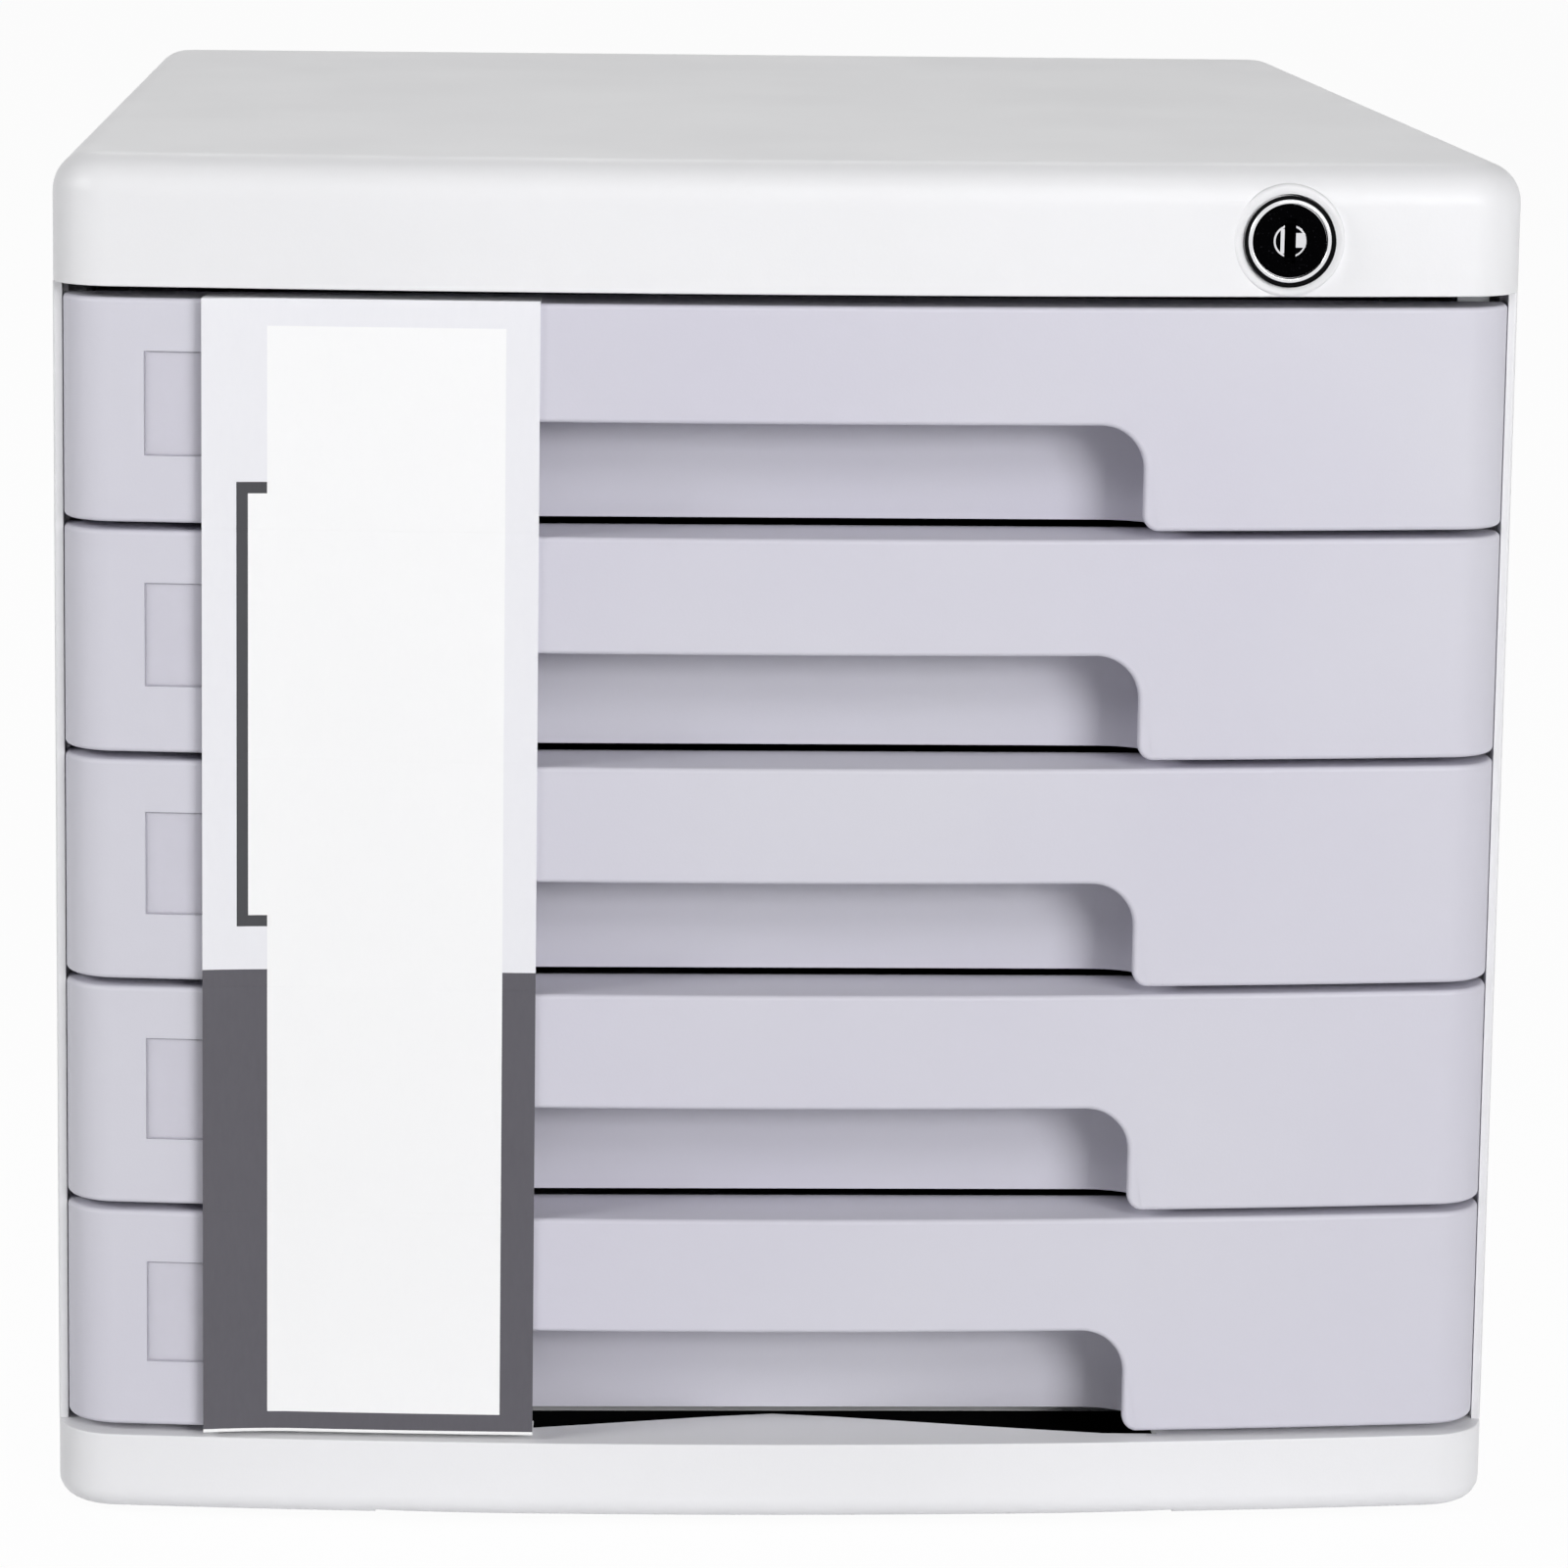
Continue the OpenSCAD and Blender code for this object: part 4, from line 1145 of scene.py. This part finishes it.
def band_paper():
    """Coated paper in two tones, with a plain frame line, a blank panel, and white below a set
    height along its lower fold.
    """
    f = Finish("band_paper", IOR=1.45)
    axes = f.node("SeparateXYZ", {"Vector": f.place}).outputs
    fibre = f.noise(1.2 * MM, 5, f.stretched((1, 1, 0.3)), 0.7)

    def inside(x0, x1, z0, z1):
        right_of = f.maths("GREATER_THAN", axes["X"], x0 * MM)
        left_of = f.maths("LESS_THAN", axes["X"], x1 * MM)
        above = f.maths("GREATER_THAN", axes["Z"], z0 * MM)
        below = f.maths("LESS_THAN", axes["Z"], z1 * MM)
        across = f.maths("MULTIPLY", right_of, left_of)
        return f.maths("MULTIPLY", across, f.maths("MULTIPLY", above, below))

    light = f.mix(fibre, srgb(240, 240, 244), srgb(236, 236, 241))
    dark = f.mix(fibre, srgb(92, 90, 97), srgb(84, 82, 89))
    white = f.mix(fibre, srgb(252, 252, 252), srgb(249, 249, 250))
    ink = f.mix(fibre, srgb(66, 66, 70), srgb(60, 60, 64))
    colour = f.mix(f.maths("LESS_THAN", axes["Z"], BAND_SPLIT_Z), light, dark)
    # white along the band's lower fold, below a set height
    colour = f.mix(f.maths("LESS_THAN", axes["Z"], BAND_WHITE_FOOT_Z), colour, white)
    colour = f.mix(inside(*FRAME_OUTER), colour, ink)
    colour = f.mix(inside(*FRAME_INNER), colour, white)
    colour = f.mix(inside(*BLANK_PANEL), colour, white)
    f.to("Base Color", colour)
    f.to("Roughness", f.between(fibre, 0.42, 0.55))
    f.bumps((fibre, 0.006 * MM), (f.noise(0.025, 2, f.stretched((1, 1, 0.4))), 0.5 * MM))
    return f.material


def smooth_group():
    """Smooth shading up to an angle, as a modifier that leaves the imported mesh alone."""
    group = bpy.data.node_groups.new("round_shading", "GeometryNodeTree")
    group.interface.new_socket("Geometry", in_out="INPUT", socket_type="NodeSocketGeometry")
    group.interface.new_socket("Geometry", in_out="OUTPUT", socket_type="NodeSocketGeometry")
    start = group.nodes.new("NodeGroupInput")
    end = group.nodes.new("NodeGroupOutput")
    angle = group.nodes.new("GeometryNodeInputMeshEdgeAngle")
    wide = group.nodes.new("FunctionNodeCompare")
    wide.operation = "GREATER_THAN"
    wide.inputs["B"].default_value = math.radians(SMOOTH_ANGLE)
    faces = group.nodes.new("GeometryNodeSetShadeSmooth")
    edges = group.nodes.new("GeometryNodeSetShadeSmooth")
    edges.domain = "EDGE"
    faces.inputs["Shade Smooth"].default_value = True
    edges.inputs["Shade Smooth"].default_value = False
    links = group.links
    links.new(start.outputs[0], faces.inputs["Geometry"])
    links.new(faces.outputs[0], edges.inputs["Geometry"])
    links.new(angle.outputs["Unsigned Angle"], wide.inputs["A"])
    links.new(wide.outputs["Result"], edges.inputs["Selection"])
    links.new(edges.outputs[0], end.inputs[0])
    return group


def dress(node, material, width):
    """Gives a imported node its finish, and breaks its sharp edges without changing its mesh."""
    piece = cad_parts[node]
    for slot in piece.material_slots:
        slot.material = material
    weld = piece.modifiers.new("weld", "WELD")
    weld.merge_threshold = TINY / 10
    flat = piece.modifiers.new("flat", "DECIMATE")
    flat.decimate_type = "DISSOLVE"
    flat.angle_limit = math.radians(FLAT_ANGLE)
    edge = piece.modifiers.new("edge", "BEVEL")
    edge.width = width
    edge.segments = 2
    edge.limit_method = "ANGLE"
    edge.angle_limit = math.radians(SHARP_ANGLE)
    edge.use_clamp_overlap = True
    shading = piece.modifiers.new("shading", "NODES")
    shading.node_group = rounding
    even = piece.modifiers.new("even", "WEIGHTED_NORMAL")
    even.keep_sharp = True


# --------------------------------------------------------- all pieces, and finishes

add_camera()
rounding = smooth_group()

SHELL_WHITE = moulded("shell_white", (240, 240, 242), (237, 237, 239), 0.36, 0.46)
FRONT_LILAC = moulded("front_lilac", (209, 207, 219), (213, 212, 221), 0.4, 0.5)
TRAY_GREY = moulded("tray_grey", (206, 205, 212), (201, 200, 207), 0.45, 0.58, 0.7 * MM)
PANEL_GREY = moulded("panel_grey", (214, 213, 219), (209, 208, 214), 0.42, 0.55, 0.6 * MM)
CHROME = steel("collar_chrome", (232, 232, 234), (224, 224, 227), 0.08, 0.16, (1, 1, 1))
ZINC = steel("bar_zinc", (186, 187, 190), (170, 172, 176), 0.28, 0.42, (1, 1, 0.1))
SCREW = steel("screw_zinc", (176, 177, 181), (150, 152, 156), 0.25, 0.4, (1, 1, 0.3))
PLUG_BLACK = black_plug()
RUBBER = rubber("foot_rubber", (38, 38, 40), (52, 52, 55), 0.4)
# near-black: painted shadow round the lock's collar
SHADOW_RING_BLACK = rubber("lock_shadow_black", (8, 8, 9), (14, 14, 15), 0.05)
# near-black: painted shade in the pocket in the base's top
SHADE_SHEET = rubber("base_painted_shade", (7, 7, 8), (12, 12, 13), 0.02)
WINDOW = window_plastic()
CARD = paper("label_paper", (240, 239, 246), (236, 235, 242))
BAND = band_paper()


def place(piece, body, node, slot, material):
    """A new piece rides on its body, stands for its node and takes its finish."""
    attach(piece, body)
    if node:
        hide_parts(node)
    piece.data.materials.clear()
    piece.data.materials.append(material)


cover = model_cover()
finish_cover(cover)
polish(cover)
place(cover, "case", "top_cover", "white_shell", SHELL_WHITE)

base = model_base()
polish(base)
place(base, "case", "base", "white_shell", SHELL_WHITE)
# the near-black sheet in the base's pocket is painted shade
place(model_shade_sheet(), "case", None, "lock_black", SHADE_SHEET)

edge_left = model_panel_edge()
for moulding in (edge_left, mirror_copy(edge_left, "edge_right")):
    place(moulding, "case", None, "white_shell", SHELL_WHITE)

front = model_front()
window, card = model_label()
for i in DRAWERS:
    drop = (i - 1) * PITCH
    body = f"drawer_{i}"
    twins = [front, window, card]
    if drop:
        twins = [copy_down(front, f"front_{i}", drop)]
        twins += [copy_down(window, f"window_{i}", drop), copy_down(card, f"card_{i}", drop)]
    place(twins[0], body, f"drawer_front_{i}", "front_plastic", FRONT_LILAC)
    place(twins[1], body, f"label_window_{i}", "label_clear", WINDOW)
    place(twins[2], body, f"label_card_{i}", "label_card", CARD)
    tone = "band_light" if i < DARK_FROM else "band_dark"
    place(model_strip(i), body, f"band_strip_{i}", tone, BAND)

collar = model_collar()
place(collar, "case", "lock_barrel", "lock_chrome", CHROME)
# the black ring round the collar is painted shadow
place(model_shadow_ring(), "case", None, "lock_black", SHADOW_RING_BLACK)
place(model_plug(), "lock_core", "lock_plug", "lock_black", PLUG_BLACK)
place(model_rotor(), "lock_core", None, "lock_chrome", CHROME)

FINE, SOFT = 0.12 * MM, 0.3 * MM
DRESSED = {
    "side_panel_left": (SHELL_WHITE, SOFT),
    "side_panel_right": (SHELL_WHITE, SOFT),
    "back_panel": (PANEL_GREY, SOFT),
    "bar_guide_upper": (PANEL_GREY, FINE),
    "bar_guide_lower": (PANEL_GREY, FINE),
    "lock_nut": (CHROME, FINE),
    "lock_cam": (ZINC, FINE),
    "lock_bar": (ZINC, FINE),
    "bar_fingers": (ZINC, FINE),
    "cam_screw": (SCREW, FINE),
    "base_screws": (SCREW, FINE),
    "cover_screws": (SCREW, FINE),
    "rubber_feet": (RUBBER, SOFT),
}
for i in DRAWERS:
    DRESSED[f"drawer_tray_{i}"] = (TRAY_GREY, SOFT)
    DRESSED[f"drawer_runners_{i}"] = (TRAY_GREY, FINE)
    DRESSED[f"drawer_catch_{i}"] = (TRAY_GREY, FINE)
    DRESSED[f"front_screws_{i}"] = (SCREW, FINE)
for node, (material, width) in DRESSED.items():
    dress(node, material, width)


# ---------------------------------------------------------------- floor and light

FLOOR_SIZE = 30
FLOOR_GLOW = 0.965  # the share of plain white in what the eye sees of the floor
WORLD_FILL = 0.08
# name, azimuth, elevation, distance, width, height, watts
SOFT_BOXES = (
    ("above", 14, 34, 2.6, 1.0, 0.6, 12),
    ("front", 30, 14, 2.6, 1.0, 0.6, 29),
    ("left", -65, 25, 2.6, 0.8, 0.6, 21),
    ("back", 180, 40, 2.6, 1.4, 1.0, 8.5),
)


def seen_by_eye(tree):
    """1 for camera, glossy and transmission rays, else 0."""
    path = tree.nodes.new("ShaderNodeLightPath")
    total = path.outputs["Is Camera Ray"]
    for name in ("Is Glossy Ray", "Is Transmission Ray"):
        most = tree.nodes.new("ShaderNodeMath")
        most.operation = "MAXIMUM"
        tree.links.new(total, most.inputs[0])
        tree.links.new(path.outputs[name], most.inputs[1])
        total = most.outputs[0]
    return total


def add_floor():
    deselect()
    bpy.ops.mesh.primitive_plane_add(size=FLOOR_SIZE)
    floor = name_it("floor")
    floor.data.materials.append(floor_material())


def floor_material():
    """Pale floor that reads white to the eye and keeps a faint shadow of the cabinet."""
    material = bpy.data.materials.new("pale_floor")
    material.use_nodes = True
    tree = material.node_tree
    tree.nodes.clear()
    matt = tree.nodes.new("ShaderNodeBsdfDiffuse")
    matt.inputs["Color"].default_value = srgb(246, 246, 247)
    glow = tree.nodes.new("ShaderNodeEmission")
    glow.inputs["Strength"].default_value = 1
    share = tree.nodes.new("ShaderNodeMath")
    share.operation = "MULTIPLY"
    share.inputs[1].default_value = FLOOR_GLOW
    tree.links.new(seen_by_eye(tree), share.inputs[0])
    both = tree.nodes.new("ShaderNodeMixShader")
    tree.links.new(share.outputs[0], both.inputs["Fac"])
    tree.links.new(matt.outputs[0], both.inputs[1])
    tree.links.new(glow.outputs[0], both.inputs[2])
    out = tree.nodes.new("ShaderNodeOutputMaterial")
    tree.links.new(both.outputs[0], out.inputs["Surface"])
    return material


def light_world(strength):
    world = bpy.data.worlds.new("studio")
    bpy.context.scene.world = world
    world.use_nodes = True
    tree = world.node_tree
    tree.nodes.clear()
    dim = tree.nodes.new("ShaderNodeBackground")
    dim.inputs["Strength"].default_value = strength
    dim.inputs["Color"].default_value = (1, 1, 1, 1)
    white = tree.nodes.new("ShaderNodeBackground")
    white.inputs["Strength"].default_value = 1
    white.inputs["Color"].default_value = (1, 1, 1, 1)
    both = tree.nodes.new("ShaderNodeMixShader")
    tree.links.new(seen_by_eye(tree), both.inputs["Fac"])
    tree.links.new(dim.outputs[0], both.inputs[1])
    tree.links.new(white.outputs[0], both.inputs[2])
    out = tree.nodes.new("ShaderNodeOutputWorld")
    tree.links.new(both.outputs[0], out.inputs["Surface"])


def add_panel_light(name, azimuth, elevation, distance, width, height, watts):
    """A soft box that looks at the cabinet: azimuth 0 is in front, and right is positive."""
    data = bpy.data.lights.new(name, "AREA")
    data.shape = "RECTANGLE"
    data.size, data.size_y = width, height
    data.energy = watts
    lamp = bpy.data.objects.new(name, data)
    bpy.context.scene.collection.objects.link(lamp)
    a, e = math.radians(azimuth), math.radians(elevation)
    away = Vector((math.sin(a) * math.cos(e), -math.cos(a) * math.cos(e), math.sin(e)))
    lamp.location = Vector((0, 0, cover_hi.z / 2)) + away * distance
    lamp.rotation_euler = away.to_track_quat("Z", "Y").to_euler()


add_floor()
light_world(WORLD_FILL)
for soft_box in SOFT_BOXES:
    add_panel_light(*soft_box)
bpy.context.scene.view_settings.view_transform = "Standard"
